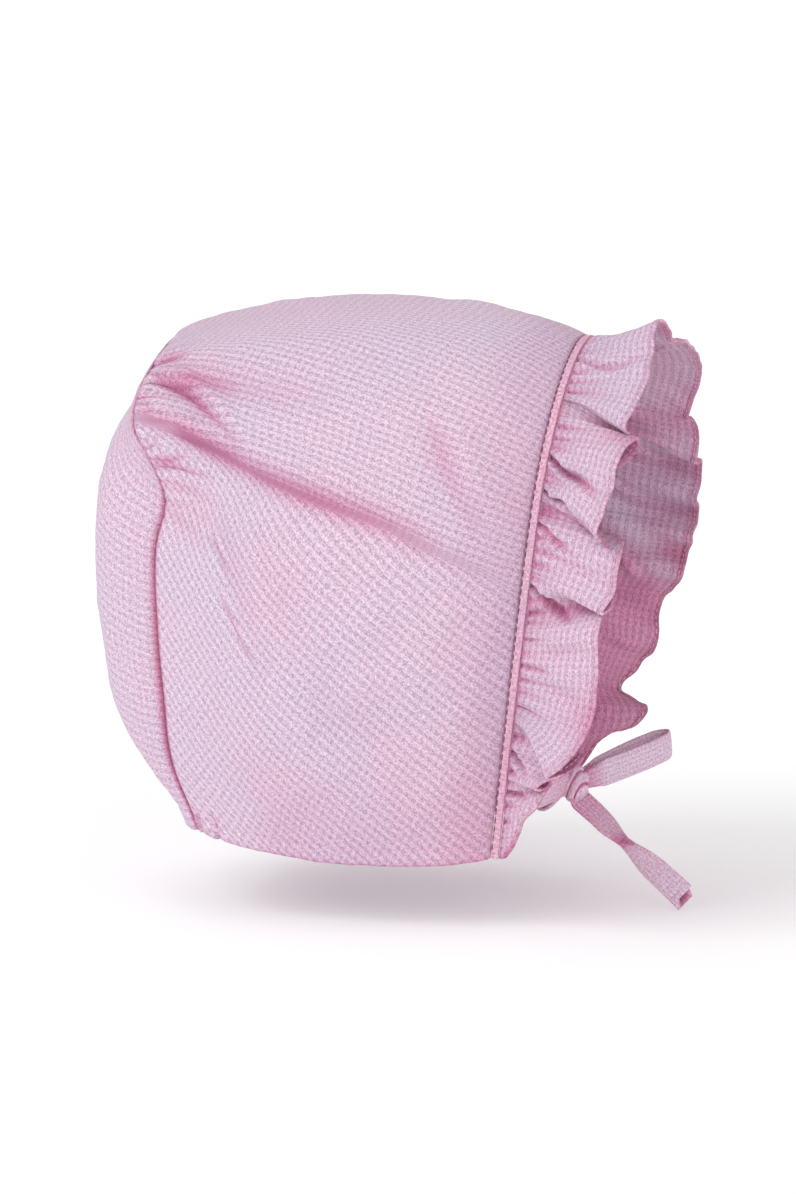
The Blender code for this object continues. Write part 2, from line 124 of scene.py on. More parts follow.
# Half of the face edge, top to lower corner: across and down as shares of its half width and drop
FACE_EDGE = (
    (0.00, 0.000), (0.26, 0.012), (0.50, 0.045), (0.71, 0.098), (0.87, 0.168), (0.97, 0.250),
    (1.00, 0.335), (0.99, 0.450), (0.95, 0.600), (0.88, 0.800), (0.80, 1.000),
)

# Half of the back seam, top to neck: shares of its half width, of its drop and of its reach
BACK_SEAM = (
    (0.00, 0.000, 1.00), (0.30, 0.020, 1.02), (0.52, 0.060, 1.06), (0.68, 0.110, 1.09),
    (0.79, 0.160, 1.08), (0.87, 0.220, 0.97), (0.93, 0.290, 0.87), (0.98, 0.400, 0.91),
    (1.00, 0.570, 0.90), (0.98, 0.720, 0.87), (0.91, 0.840, 0.85), (0.83, 1.000, 0.70),
)

# How far the crown stands out between face edge and back seam: share round, share of its rise
CROWN_SWELL = ((0.00, 1.00), (0.25, 1.00), (0.50, 1.12), (0.75, 0.95), (1.00, 0.50))

# How far the back panel stands behind its seam: share down, share of the bulge
BACK_PROFILE = (
    (0.00, 0.00), (0.07, 0.34), (0.16, 0.67), (0.28, 0.82), (0.42, 0.92), (0.55, 0.95),
    (0.70, 0.92), (0.80, 0.76), (0.88, 0.54), (0.94, 0.38), (1.00, 0.36),
)

# Creases of the crown's right side. Each row: depth and width in mm, how much wider the slope below is,
# the ridge above as a share of the depth, the depth of shade, then its way as (round, forward) shares
CREASES = (
    (2.6, 3.8, 1.5, 0.50, 1.05, ((0.296, 0.125), (0.321, 0.185), (0.347, 0.235), (0.372, 0.300), (0.390, 0.370),
                                 (0.412, 0.488), (0.437, 0.640), (0.468, 0.760), (0.498, 0.880), (0.516, 0.940))),
    (0.4, 4.6, 1.6, 0.00, 0.72, ((0.284, 0.098), (0.306, 0.142), (0.334, 0.196), (0.360, 0.255))),
    (2.8, 1.9, 2.2, 0.70, 1.45, ((0.190, 0.028), (0.203, 0.070), (0.219, 0.114), (0.240, 0.156), (0.269, 0.202),
                                 (0.291, 0.232), (0.314, 0.256), (0.330, 0.275))),
    (1.3, 1.4, 2.4, 0.50, 0.80, ((0.258, 0.004), (0.266, 0.050), (0.276, 0.100), (0.290, 0.142), (0.300, 0.165))),
    (1.1, 1.8, 2.0, 0.40, 0.45, ((0.273, 0.018), (0.291, 0.082), (0.319, 0.138), (0.345, 0.180), (0.370, 0.215))),
    (1.3, 5.5, 1.3, 0.30, 0.36, ((0.150, 0.020), (0.169, 0.066), (0.201, 0.134), (0.219, 0.210), (0.241, 0.336),
                                 (0.259, 0.542))),
    (1.0, 2.2, 1.8, 0.30, 0.55, ((0.196, 0.110), (0.206, 0.150), (0.221, 0.215), (0.233, 0.280))),
    (1.6, 1.5, 2.0, 0.50, 1.20, ((0.142, 0.000), (0.140, 0.034), (0.144, 0.070), (0.152, 0.105))),
    (1.0, 1.0, 1.8, 0.40, 0.80, ((0.231, 0.004), (0.243, 0.040), (0.256, 0.066))),
    (0.9, 0.9, 1.8, 0.40, 0.70, ((0.213, 0.004), (0.224, 0.034), (0.231, 0.058))),
    (0.8, 0.9, 1.8, 0.40, 0.60, ((0.174, 0.010), (0.184, 0.045), (0.196, 0.070))),
    (1.0, 1.0, 1.8, 0.40, 0.80, ((0.316, 0.004), (0.313, 0.030), (0.312, 0.058))),
    (1.3, 1.2, 2.0, 0.45, 1.00, ((0.334, 0.004), (0.341, 0.050), (0.339, 0.094), (0.332, 0.125))),
    (1.3, 1.3, 2.0, 0.45, 0.90, ((0.355, 0.004), (0.359, 0.076), (0.367, 0.116), (0.376, 0.170))),
    (0.8, 1.6, 1.6, 0.35, 0.25, ((0.392, 0.006), (0.398, 0.070), (0.412, 0.140), (0.430, 0.200))),
    (0.9, 2.6, 1.6, 0.40, 0.22, ((0.420, 0.010), (0.464, 0.100), (0.497, 0.186))),
    (1.1, 4.0, 1.5, 0.50, 0.16, ((0.441, 0.130), (0.464, 0.196), (0.551, 0.256), (0.627, 0.302), (0.700, 0.346))),
    (0.5, 0.8, 1.6, 0.50, 0.60, ((0.470, 0.166), (0.489, 0.188), (0.519, 0.214), (0.550, 0.232))),
    (0.5, 0.8, 1.6, 0.50, 0.60, ((0.564, 0.200), (0.591, 0.226), (0.626, 0.254), (0.677, 0.302), (0.713, 0.338))),
    (0.8, 9.0, 1.2, 0.30, 0.08, ((0.480, 0.300), (0.600, 0.420), (0.740, 0.520))),
    (1.3, 10.0, 1.2, 0.20, 0.12, ((0.735, 0.440), (0.750, 0.512), (0.785, 0.690), (0.817, 0.832))),
    (1.7, 4.0, 1.5, 0.55, 0.42, ((0.280, 0.735), (0.366, 0.794), (0.421, 0.854), (0.470, 0.900))),
    (0.9, 1.2, 1.5, 0.40, 0.80, ((0.995, 0.018), (0.972, 0.020), (0.945, 0.028))),
    (0.9, 1.2, 1.5, 0.40, 0.70, ((0.998, 0.074), (0.975, 0.080), (0.944, 0.088))),
)

# Turn of the checks in degrees above the long fold, below it and near the neck at the rear, how much closer the
# rows look above the fold, and where the fold's line runs on beyond its two ends
GRAIN_ABOVE = 18
GRAIN_BELOW = 34
GRAIN_REAR = 47
GRAIN_CLOSER = 1.34
FOLD_BEFORE = ((0.256, 0.00), (0.270, 0.06))
FOLD_AFTER = ((0.530, 0.96), (0.560, 1.02))

# Pleats that start in the back seam: share round, how far forward in mm, drift round per mm forward,
# depth in mm, half width in mm
SEAM_PLEATS = (
    (0.040, 9, 0.0000, 0.4, 1.0), (0.080, 11, 0.0002, 0.5, 1.1), (0.115, 10, 0.0002, 0.6, 1.0),
    (0.163, 9, 0.0006, 1.0, 0.9), (0.192, 9, 0.0008, 0.9, 0.8), (0.221, 10, 0.0009, 1.2, 0.9),
    (0.248, 11, 0.0009, 1.1, 0.8), (0.296, 7, 0.0004, 0.7, 0.9), (0.347, 9, 0.0006, 0.8, 0.9),
    (0.376, 12, 0.0010, 0.9, 1.0), (0.410, 14, 0.0012, 0.6, 1.1), (0.440, 10, 0.0008, 0.3, 1.0),
)

# Edges of the frill's folds on the wearer's right: place on the face edge, how far along and out the free
# edge lies as shares of the frill's width there, and that width as a share of the full one
RIGHT_FRILL = (
    (0.060, 0.36, 0.43, 1.00), (0.110, 0.38, 0.37, 1.00), (0.165, 0.34, 0.36, 1.00),
    (0.195, 0.42, 0.38, 1.00), (0.211, 0.55, 0.32, 1.00), (0.217, 0.50, -0.08, 0.90),
    (0.227, 0.64, -0.04, 0.93), (0.240, 0.42, 0.12, 0.96), (0.256, 0.28, 0.36, 1.00),
    (0.292, 0.23, 0.55, 1.00), (0.325, 0.25, 0.58, 1.00), (0.352, 0.32, 0.60, 1.00),
    (0.371, 0.40, 0.58, 1.00), (0.388, 0.40, 0.20, 0.86), (0.408, 0.14, 0.18, 0.88),
    (0.432, 0.08, 0.43, 1.00), (0.487, 0.03, 0.47, 1.00), (0.520, 0.05, 0.58, 1.00),
    (0.545, -0.18, 0.22, 0.88), (0.576, -0.36, 0.15, 0.88), (0.606, -0.37, 0.51, 1.00),
    (0.660, -0.24, 0.52, 1.00), (0.712, -0.10, 0.55, 1.00), (0.738, 0.14, 0.68, 0.98),
    (0.755, 0.30, 0.79, 0.94), (0.775, 0.05, 0.34, 0.80), (0.802, -0.09, 0.36, 0.74),
    (0.832, -0.11, 0.77, 0.74), (0.858, -0.20, 0.80, 0.66), (0.880, -0.42, 0.40, 0.56),
    (0.905, -0.45, 0.55, 0.56), (0.945, -0.46, 0.62, 0.36), (1.000, -0.40, 0.40, 0.08),
)

# The same on the wearer's left
LEFT_FRILL = (
    (0.030, -0.52, 0.02, 1.00), (0.085, -0.46, -0.05, 1.00), (0.130, -0.35, -0.06, 1.00),
    (0.160, -0.10, -0.02, 0.98), (0.220, 0.40, 0.12, 1.00), (0.275, 0.55, 0.25, 1.00),
    (0.290, 0.40, 0.36, 1.00), (0.315, 0.25, 0.20, 1.00), (0.350, 0.15, -0.10, 1.01),
    (0.385, 0.10, 0.24, 1.05), (0.425, 0.10, -0.08, 1.05), (0.465, 0.05, 0.22, 1.07),
    (0.505, 0.00, -0.06, 1.06), (0.545, -0.03, 0.25, 1.03), (0.575, 0.00, 0.12, 1.00),
    (0.602, 0.04, 0.52, 1.00), (0.640, 0.07, 0.69, 1.00), (0.690, 0.15, 0.65, 1.00),
    (0.730, 0.11, 0.79, 1.00), (0.775, 0.18, 0.84, 0.86), (0.805, 0.06, 0.70, 0.90),
    (0.830, -0.05, 0.46, 0.90), (0.860, -0.13, 0.42, 0.85), (0.885, -0.23, 0.50, 0.76),
    (0.930, -0.45, 0.55, 0.50), (1.000, -0.40, 0.40, 0.10),
)

# Creases of the frill on both sides: depth and width in mm, shade, then the way as (place, share of the width)
FRILL_CREASES = (
    (1.5, 2.2, 0.80, ((0.112, 0.00), (0.128, 0.20), (0.139, 0.48), (0.130, 0.70), (0.114, 0.88))),
    (3.0, 1.8, 1.40, ((0.315, 0.00), (0.333, 0.20), (0.338, 0.53), (0.346, 0.88))),
    (2.6, 1.8, 1.30, ((0.368, 0.00), (0.377, 0.12), (0.374, 0.38), (0.386, 0.55))),
    (1.8, 1.6, 1.00, ((0.424, 0.00), (0.435, 0.12), (0.449, 0.28), (0.458, 0.50))),
    (1.0, 2.2, 0.35, ((0.470, 0.10), (0.476, 0.50), (0.482, 0.85))),
    (2.0, 1.8, 1.00, ((0.527, 0.00), (0.547, 0.20), (0.575, 0.42), (0.601, 0.62))),
    (1.6, 1.6, 1.00, ((0.662, 0.00), (0.666, 0.25), (0.671, 0.42))),
    (1.0, 2.6, 0.30, ((0.640, 0.30), (0.636, 0.65), (0.634, 0.90))),
    (1.0, 2.6, 0.25, ((0.690, 0.25), (0.696, 0.60), (0.700, 0.90))),
    (2.0, 1.8, 1.00, ((0.810, 0.00), (0.828, 0.23), (0.840, 0.55))),
    (1.4, 1.6, 0.80, ((0.880, 0.00), (0.890, 0.35), (0.900, 0.60))),
)

# Short pleats at the frill's root, both sides: place, share of the width that they reach, depth in mm
ROOT_PLEATS = (
    (0.050, 0.22, 0.7), (0.088, 0.30, 0.9), (0.148, 0.28, 0.9), (0.172, 0.36, 1.2), (0.192, 0.42, 1.4),
    (0.214, 0.34, 1.2), (0.262, 0.30, 1.1), (0.284, 0.34, 1.0), (0.299, 0.26, 0.9), (0.345, 0.26, 1.0),
    (0.357, 0.20, 0.9), (0.398, 0.28, 1.2), (0.411, 0.24, 1.0), (0.448, 0.24, 1.0), (0.468, 0.20, 0.9),
    (0.492, 0.24, 1.0), (0.512, 0.22, 0.9), (0.552, 0.30, 1.2), (0.574, 0.40, 1.5), (0.590, 0.34, 1.3),
    (0.618, 0.24, 0.9), (0.640, 0.22, 0.8), (0.686, 0.24, 0.9), (0.708, 0.30, 1.0), (0.732, 0.40, 1.3),
    (0.762, 0.36, 1.2), (0.784, 0.30, 1.1), (0.846, 0.34, 1.1), (0.866, 0.30, 0.9), (0.908, 0.34, 0.9),
    (0.936, 0.36, 0.8),
)

# The bow's loops seen from above: shares of the loop's length and of half its opening
LOOP_OUTLINE = (
    (0.00, 0.32), (0.22, 0.64), (0.50, 0.95), (0.80, 1.00), (0.96, 0.62), (1.00, 0.00),
    (0.95, -0.62), (0.78, -0.98), (0.50, -0.92), (0.22, -0.64), (0.00, -0.32),
)

# Tails: shares of their length forward, aside and down, and the roll of their face in degrees
LONG_TAIL = (
    (0.00, 0.00, 0.00, 55.0), (0.12, -0.01, 0.10, 58.0), (0.25, -0.03, 0.22, 70.0), (0.36, -0.05, 0.31, 130.0),
    (0.52, -0.07, 0.44, 165.0), (0.64, -0.08, 0.54, 172.0), (0.75, -0.08, 0.64, 176.0),
)
SHORT_TAIL = (
    (0.00, 0.00, 0.00, 0.0), (-0.25, 0.15, -0.16, 0.0), (-0.53, 0.35, -0.10, 8.0), (-0.78, 0.52, 0.08, 15.0),
)

MM = 0.001
FORWARD = np.array((0.0, -1.0, 0.0))
SIDEWAYS = np.array((1.0, 0.0, 0.0))
UPWARD = np.array((0.0, 0.0, 1.0))


# Curves and edges


def unit(vectors):
    return vectors / np.maximum(np.linalg.norm(vectors, axis=-1, keepdims=True), 1e-12)


def through(knots, values, at):
    """Values on a smooth curve that passes through the given ones."""
    values = np.asarray(values, float)
    at = np.asarray(at, float)
    slopes = np.gradient(values, knots, axis=0)
    left = np.clip(np.searchsorted(knots, at) - 1, 0, len(knots) - 2)
    step = (knots[left + 1] - knots[left])[..., None]
    t = (at - knots[left])[..., None] / step
    return (
        (2 * t**3 - 3 * t**2 + 1) * values[left]
        + (t**3 - 2 * t**2 + t) * step * slopes[left]
        + (3 * t**2 - 2 * t**3) * values[left + 1]
        + (t**3 - t**2) * step * slopes[left + 1]
    )


def read_table(table, at):
    """The second column of a table at values of its first."""
    rows = np.array(table, float)
    return through(rows[:, 0], rows[:, 1:2], at)[..., 0]


def lengths_along(points):
    steps = np.linalg.norm(np.diff(points, axis=0), axis=1)
    return np.concatenate(([0.0], np.cumsum(steps)))


def smooth_path(points, count):
    """Points evenly spaced along a smooth curve through the given ones."""
    points = np.asarray(points, float)
    knots = lengths_along(points)
    dense = through(knots, points, np.linspace(0, knots[-1], CURVE_SAMPLES))
    run = lengths_along(dense)
    at = np.linspace(0, run[-1], count)
    return np.stack([np.interp(at, run, dense[:, axis]) for axis in range(points.shape[1])], axis=1)


def smooth_step(low, high, value):
    t = np.clip((value - low) / (high - low), 0, 1)
    return t * t * (3 - 2 * t)


def bell(x):
    """1 at 0, dying away on both sides."""
    return np.exp(-(x**2))


def boxy(x, power):
    """x to a power with its sign kept, which squares off a round section."""
    return np.sign(x) * np.abs(x) ** power


def ripples(x, y, length, seed, count=14):
    """Even soft noise between about -1 and 1, with waves about this long."""
    draw = np.random.default_rng(seed)
    total = np.zeros(np.broadcast(x, y).shape)
    for _ in range(count):
        way, phase, size = draw.uniform(0, 2 * np.pi, 2).tolist() + [draw.uniform(0.6, 1.7)]
        k = 2 * np.pi * size / length
        total += np.sin(k * (x * math.cos(way) + y * math.sin(way)) + phase)
    return total / math.sqrt(count)


class Edge:
    """A symmetric edge of the cap, read by the share round it: -1 right corner, 0 top, 1 left corner."""

    def __init__(self, half):
        points = np.vstack([half[:0:-1] * (-1, 1, 1), half])
        self.path = smooth_path(points, 2 * CURVE_SAMPLES + 1)
        self.half_length = lengths_along(self.path)[-1] / 2
        self.places = np.linspace(-1, 1, len(self.path))
        tangents = unit(np.gradient(self.path, axis=0))
        self.outward = unit(np.stack([-tangents[:, 2], 0 * tangents[:, 1], tangents[:, 0]], axis=1))
        self.tangents = tangents

    def read(self, values, at):
        return np.stack([np.interp(at, self.places, values[:, axis]) for axis in range(3)], axis=-1)

    def point(self, at):
        return self.read(self.path, at)

    def normal(self, at):
        return unit(self.read(self.outward, at))

    def tangent(self, at):
        return unit(self.read(self.tangents, at))


def face_edge():
    across, down = np.array(FACE_EDGE).T
    reach, height = -FACE_REACH + down * FACE_SLANT, -FACE_DIP - down * FACE_DROP
    return Edge(np.stack([across * FACE_HALF_WIDTH, reach, height], axis=1))


def back_seam():
    across, down, back = np.array(BACK_SEAM).T
    return Edge(np.stack([across * SEAM_HALF_WIDTH, back * SEAM_REACH, -SEAM_DIP - down * SEAM_DROP], axis=1))


FACE = face_edge()
SEAM = back_seam()
DEPTH = FACE_REACH + SEAM_REACH


def face_frame(place):
    """Point, forward, out and along directions of the face edge."""
    along = FACE.tangent(place)
    out = FACE.normal(place)
    ahead = unit(np.cross(along, out))
    return FACE.point(place), ahead * np.sign(ahead @ FORWARD)[..., None], out, along


def crease_marks(at, way):
    """How far along a crease's way each point lies (0 to 1) and how far to its left, in metres."""
    path = smooth_path(way, 26)
    best = np.full(at.shape[:-1], 1e9)
    along = np.zeros(at.shape[:-1])
    aside = np.zeros(at.shape[:-1])
    for k, (a, b) in enumerate(zip(path, path[1:])):
        run = b - a
        length = np.linalg.norm(run)
        d = at - a
        t = np.clip(d @ run / length**2, 0, 1)
        gap = d - t[..., None] * run
        far = np.linalg.norm(gap, axis=-1)
        nearer = far < best
        side = np.sign(d[..., 0] * run[1] - d[..., 1] * run[0])
        best = np.where(nearer, far, best)
        along = np.where(nearer, (k + t) / (len(path) - 1), along)
        aside = np.where(nearer, far * side, aside)
    return along, aside


def crease_relief(at, half):
    """Relief and shade of the crown's creases: a valley, soft below it, and a ridge above it."""
    relief, shade = np.zeros(at.shape[:2]), np.zeros(at.shape[:2])
    for depth, width, soft, ridge, dark, way in CREASES:
        along, aside = crease_marks(at, np.array(way) * (half, DEPTH))
        fade = np.sin(np.pi * np.clip(0.03 + 0.97 * along, 0, 1) ** 0.62)
        wide = width * MM * (0.55 + 0.45 * np.clip(7 * along, 0, 1))
        lower = np.clip(aside, 0, None) / (wide * soft)
        upper = np.clip(-aside, 0, None) / wide
        crest = ridge * bell(upper - 1.7) * (aside < 0)
        relief += depth * MM * fade * (crest - bell(lower) * bell(upper))
        shade += dark * fade * bell(upper * 0.85) * bell(lower * soft * 1.25)
    return relief, shade


def crown_relief(place, forward):
    """Height of the crown's folds and gathers above its plain form, and how deep in a fold each point is."""
    half = SEAM.half_length
    at = np.stack([np.abs(place) * half, forward * DEPTH], axis=-1)
    relief, shade = crease_relief(at, half)
    behind = forward * DEPTH
    for start, reach, drift, depth, width in SEAM_PLEATS:
        centre = (start + drift * behind / MM) * half
        d = (at[..., 0] - centre) / (width * MM * (1 + behind / (reach * MM)))
        fade = bell(behind / (reach * MM)) * smooth_step(0, 1.2 * MM, behind)
        relief -= depth * MM * bell(d) * fade
        shade += 0.5 * depth * bell(d * 1.4) * fade
    puff = smooth_step(0.12, 0.20, np.abs(place)) * (1 - smooth_step(0.38, 0.46, np.abs(place)))
    near = behind / (6 * MM)
    relief += 1.5 * MM * puff * near * np.exp(1 - near)
    x, y = place * half, behind
    relief += 0.22 * MM * ripples(x, y, 26 * MM, 3) + 0.10 * MM * ripples(x, y, 9 * MM, 5)
    from_face = (1 - forward) * DEPTH
    pucker = np.exp(-from_face / (5 * MM)) * ripples(x, 0 * x, 6 * MM, 11, 8)
    relief += 0.14 * MM * pucker
    ends = smooth_step(0, 5 * MM, behind) * 0.15 + 0.85
    relief *= ends * smooth_step(0, 3 * MM, from_face)
    return relief, np.clip(shade, 0, 1.7)


def crown_surface(place, forward):
    """Inner face of the crown's plain form and the way out of it."""
    seam = SEAM.point(place) + FORWARD * SEAM_CLOSE
    face = FACE.point(place) - FORWARD * SEAM_GAP / 2
    share = forward[..., None]
    points = seam + (face - seam) * share
    outward = unit(SEAM.normal(place) * (1 - share) + FACE.normal(place) * share)
    swell = np.clip(4 * forward * (1 - forward), 0, 1) ** CROWN_ROUNDNESS
    rise = CROWN_RISE * read_table(CROWN_SWELL, np.abs(place)) * swell
    points = points + outward * rise[..., None]
    points[..., 2] -= NECK_SAG * swell * np.abs(place) ** 6
    return points, outward


def back_surface(across, down):
    """Inner face of the back panel and the way out of it, by shares from side to side and top to neck."""
    side = SHOULDER + (1 - SHOULDER) * down
    left, right = SEAM.point(side), SEAM.point(-side)
    top = SEAM.point(SHOULDER * across)
    low_left, low_right = SEAM.point(1.0), SEAM.point(-1.0)
    high_left, high_right = SEAM.point(SHOULDER), SEAM.point(-SHOULDER)
    c = ((across + 1) / 2)[..., None]
    r = down[..., None]
    bottom = low_right + (low_left - low_right) * c
    corners = (high_right * (1 - c) + high_left * c) * (1 - r) + (low_right * (1 - c) + low_left * c) * r
    points = right * (1 - c) + left * c + top * (1 - r) + bottom * r - corners
    arch = np.clip(1 - across**2, 0, 1) ** BACK_ROUNDNESS
    points[..., 1] += SEAM_CLOSE + BACK_BULGE * arch * read_table(BACK_PROFILE, down)
    rim = np.where(np.abs(across) > 1 - down, np.sign(across) * side, SHOULDER * across)
    return points, SEAM.normal(rim)


def sheet_normals(points):
    """Unit normals of a grid of points, on the left of its rows."""
    return unit(np.cross(np.gradient(points, axis=0), np.gradient(points, axis=1)))


def crown_grain(place, forward):
    """Where each point of the crown lies in the cut cloth, in metres: the checks turn below the long fold."""
    half = SEAM.half_length
    s, t = np.abs(place) * half, (1 - forward) * DEPTH
    at = np.stack([s, forward * DEPTH], axis=-1)
    fold = np.array((*FOLD_BEFORE, *CREASES[0][5], *FOLD_AFTER)) * (half, DEPTH)
    _, aside = crease_marks(at, fold)
    below = smooth_step(-1.5 * MM, 1.5 * MM, aside)

    def turned(angle, s0, t0, lean=1.0):
        c, n = math.cos(math.radians(angle)), math.sin(math.radians(angle))
        return (s - s0) * c + (t - t0) * n * lean, -(t - t0) * c + (s - s0) * n * lean

    pivot = 0.56 * half
    rear_pivot = (0.95 * half, 0.075)
    from_top = smooth_step(0, 0.16, np.abs(place))
    v_top, u_top = turned(GRAIN_ABOVE, 0, 0, from_top)
    v_low, u_low = turned(GRAIN_BELOW, pivot, 0)
    v_low = v_low + pivot * math.cos(math.radians(GRAIN_ABOVE)) * GRAIN_CLOSER
    u_low = u_low + pivot * math.sin(math.radians(GRAIN_ABOVE))
    v = v_top * GRAIN_CLOSER * (1 - below) + v_low * below
    u = u_top * (1 - below) + u_low * below
    rear = smooth_step(0.070, 0.125, t) * below
    v_rear, u_rear = turned(GRAIN_REAR, *rear_pivot)
    v_base, u_base = turned(GRAIN_BELOW, *rear_pivot)
    v += (v_rear - v_base) * rear
    u += (u_rear - u_base) * rear
    return np.stack([u, v * np.where(place < 0, -1, 1)], axis=-1)


# Meshes


def grid_faces(rows, columns, start=0):
    i, j = np.meshgrid(np.arange(rows - 1), np.arange(columns - 1), indexing="ij")
    a = start + i * columns + j
    return np.stack([a, a + 1, a + columns + 1, a + columns], axis=-1).reshape(-1, 4)


def rim_of(rows, columns):
    """Rows and columns of a grid's rim, in order round it."""
    rim = [(0, j) for j in range(columns)]
    rim += [(i, columns - 1) for i in range(1, rows)]
    rim += [(rows - 1, j) for j in range(columns - 2, -1, -1)]
    rim += [(i, 0) for i in range(rows - 2, 0, -1)]
    return np.array(rim)


def make_mesh(name, points, faces, material, uv=None, marks=None):
    """A mesh object with outward faces, smooth, with its cloth map and its point attributes."""
    faces = np.asarray(faces)
    tri = np.vstack([faces[:, [0, 1, 2]], faces[:, [0, 2, 3]]])
    a, b, c = (points[tri[:, k]] for k in range(3))
    if np.sum(a * np.cross(b, c)) < 0:
        faces = faces[:, ::-1]
    mesh = bpy.data.meshes.new(name)
    mesh.from_pydata(points.tolist(), [], faces.tolist())
    mesh.update()
    mesh.shade_smooth()
    if uv is not None:
        layer = mesh.uv_layers.new(name="cloth")
        corner = np.zeros(len(mesh.loops), int)
        mesh.loops.foreach_get("vertex_index", corner)
        layer.data.foreach_set("uv", uv[corner].astype(np.float32).ravel())
    for key, values in (marks or {}).items():
        kind = "FLOAT_VECTOR" if values.ndim == 2 else "FLOAT"
        attribute = mesh.attributes.new(key, kind, "POINT")
        field = "vector" if values.ndim == 2 else "value"
        attribute.data.foreach_set(field, values.astype(np.float32).ravel())
    mesh.materials.append(material)
    made = bpy.data.objects.new(name, mesh)
    bpy.context.scene.collection.objects.link(made)
    return made


def wall(name, inner, outer, material, uv, marks, inside=None):
    """The closed sheet between two grids of points, its rim rounded; the inner face can have its own marks."""
    rows, columns = inner.shape[:2]
    count = rows * columns
    rim = rim_of(rows, columns)
    inward = np.stack([np.clip(rim[:, 0], 1, rows - 2), np.clip(rim[:, 1], 1, columns - 2)], axis=1)
    mid = (inner + outer) / 2
    edge, back = mid[rim[:, 0], rim[:, 1]], mid[inward[:, 0], inward[:, 1]]
    thick = np.linalg.norm(outer - inner, axis=-1)[rim[:, 0], rim[:, 1]]
    lip = edge + unit(edge - back) * (thick * RIM_ROUND)[:, None]
    points = np.vstack([inner.reshape(-1, 3), outer.reshape(-1, 3), lip])
    flat = rim[:, 0] * columns + rim[:, 1]
    ring = np.arange(len(rim)) + 2 * count
    n = np.roll(np.arange(len(rim)), -1)
    faces = np.vstack([
        grid_faces(rows, columns)[:, ::-1],
        grid_faces(rows, columns, count),
        np.stack([flat, flat[n], ring[n], ring], axis=1),
        np.stack([ring, ring[n], flat[n] + count, flat + count], axis=1),
    ])

    def spread(values, key=None):
        values = values.reshape(count, -1)
        within = (inside or {}).get(key)
        within = values if within is None else within.reshape(count, -1)
        joined = np.vstack([within, values, values[flat]])
        return joined if joined.shape[1] > 1 else joined[:, 0]

    spread_marks = {key: spread(values, key) for key, values in marks.items()}
    return make_mesh(name, points, faces, material, spread(uv), spread_marks)


def swept(name, sections, material, uv, marks=None):
    """The closed solid through a row of like sections, its ends closed in a fan of quads."""
    stations, around = sections.shape[:2]
    points = sections.reshape(-1, 3)
    i, j = np.meshgrid(np.arange(stations - 1), np.arange(around), indexing="ij")
    n = (j + 1) % around
    here, next_ring = i * around, (i + 1) * around
    sides = np.stack([here + j, here + n, next_ring + n, next_ring + j], axis=-1).reshape(-1, 4)
    caps = []
    for base, turn in ((0, -1), ((stations - 1) * around, 1)):
        for k in range(around // 2 - 1):
            quad = [base + k, base + k + 1, base + around - k - 2, base + around - k - 1]
            caps.append(quad[::turn])
    return make_mesh(name, points, np.vstack([sides, caps]), material, uv.reshape(-1, 2), marks)


# Shader maths


class Num:
    """A number socket of a material's tree; arithmetic on it adds Math nodes."""

    def __init__(self, tree, socket):
        self.tree, self.socket = tree, socket

    def math(self, operation, *others, clamp=False):
        node = self.tree.add("ShaderNodeMath", {"operation": operation, "use_clamp": clamp}, [self, *others])
        return Num(self.tree, node.outputs[0])

    def __add__(self, other):
        return self.math("ADD", other)

    __radd__ = __add__

    def __sub__(self, other):
        return self.math("SUBTRACT", other)

    def __rsub__(self, other):
        return self.math("MULTIPLY_ADD", -1.0, other)

    def __mul__(self, other):
        return self.math("MULTIPLY", other)

    __rmul__ = __mul__

    def sin(self):
        return self.math("SINE")

    def step(self, low, high):
        """0 below low, 1 above high, smooth between."""
        ends = {"Value": self, "From Min": low, "From Max": high}
        node = self.tree.add("ShaderNodeMapRange", {"interpolation_type": "SMOOTHSTEP"}, ends)
        return Num(self.tree, node.outputs["Result"])


class Tree:
    """A node tree; one call adds a node with its settings and inputs."""

    def __init__(self, tree):
        self.nodes, self.links = tree.nodes, tree.links

    def put(self, socket, value):
        if isinstance(value, Num):
            value = value.socket
        if isinstance(value, bpy.types.NodeSocket):
            self.links.new(value, socket)
        else:
            socket.default_value = value

    def add(self, kind, settings=None, inputs=None):
        """A node of this type, with its settings made first and then its sockets' values or links."""
        node = self.nodes.new(kind)
        for key, value in (settings or {}).items():
            setattr(node, key, value)
        pairs = inputs.items() if isinstance(inputs, dict) else enumerate(inputs or [])
        for key, value in pairs:
            if value is not None:
                self.put(node.inputs[key], value)
        return node


class Shader(Tree):
    """The node tree of one material."""

    def __init__(self, name):
        self.material = bpy.data.materials.new(name)
        self.material.use_nodes = True
        super().__init__(self.material.node_tree)
        self.bsdf = self.nodes["Principled BSDF"]

    def attribute(self, name):
        return Num(self, self.add("ShaderNodeAttribute", {"attribute_name": name}).outputs["Fac"])

    def noise(self, vector, scale, detail=2.0):
        node = self.add("ShaderNodeTexNoise", {}, {"Vector": vector, "Scale": scale, "Detail": detail})
        return Num(self, node.outputs["Fac"])

    def mix(self, factor, first, second, kind="MIX"):
        """A colour between two, or the two multiplied by this much."""
        settings = {"data_type": "RGBA", "blend_type": kind}
        return self.add("ShaderNodeMix", settings, {0: factor, 6: first, 7: second}).outputs[2]

    def vector(self, operation, *values):
        return self.add("ShaderNodeVectorMath", {"operation": operation}, values).outputs[0]

    def bump(self, height, strength, distance):
        node = self.add("ShaderNodeBump", {}, {"Strength": strength, "Distance": distance, "Height": height})
        self.put(self.bsdf.inputs["Normal"], node.outputs[0])

    def set(self, values):
        """The finish's inputs by name."""
        for key, value in values.items():
            self.put(self.bsdf.inputs[key], value)


def opaque(colour):
    return (*colour, 1.0)


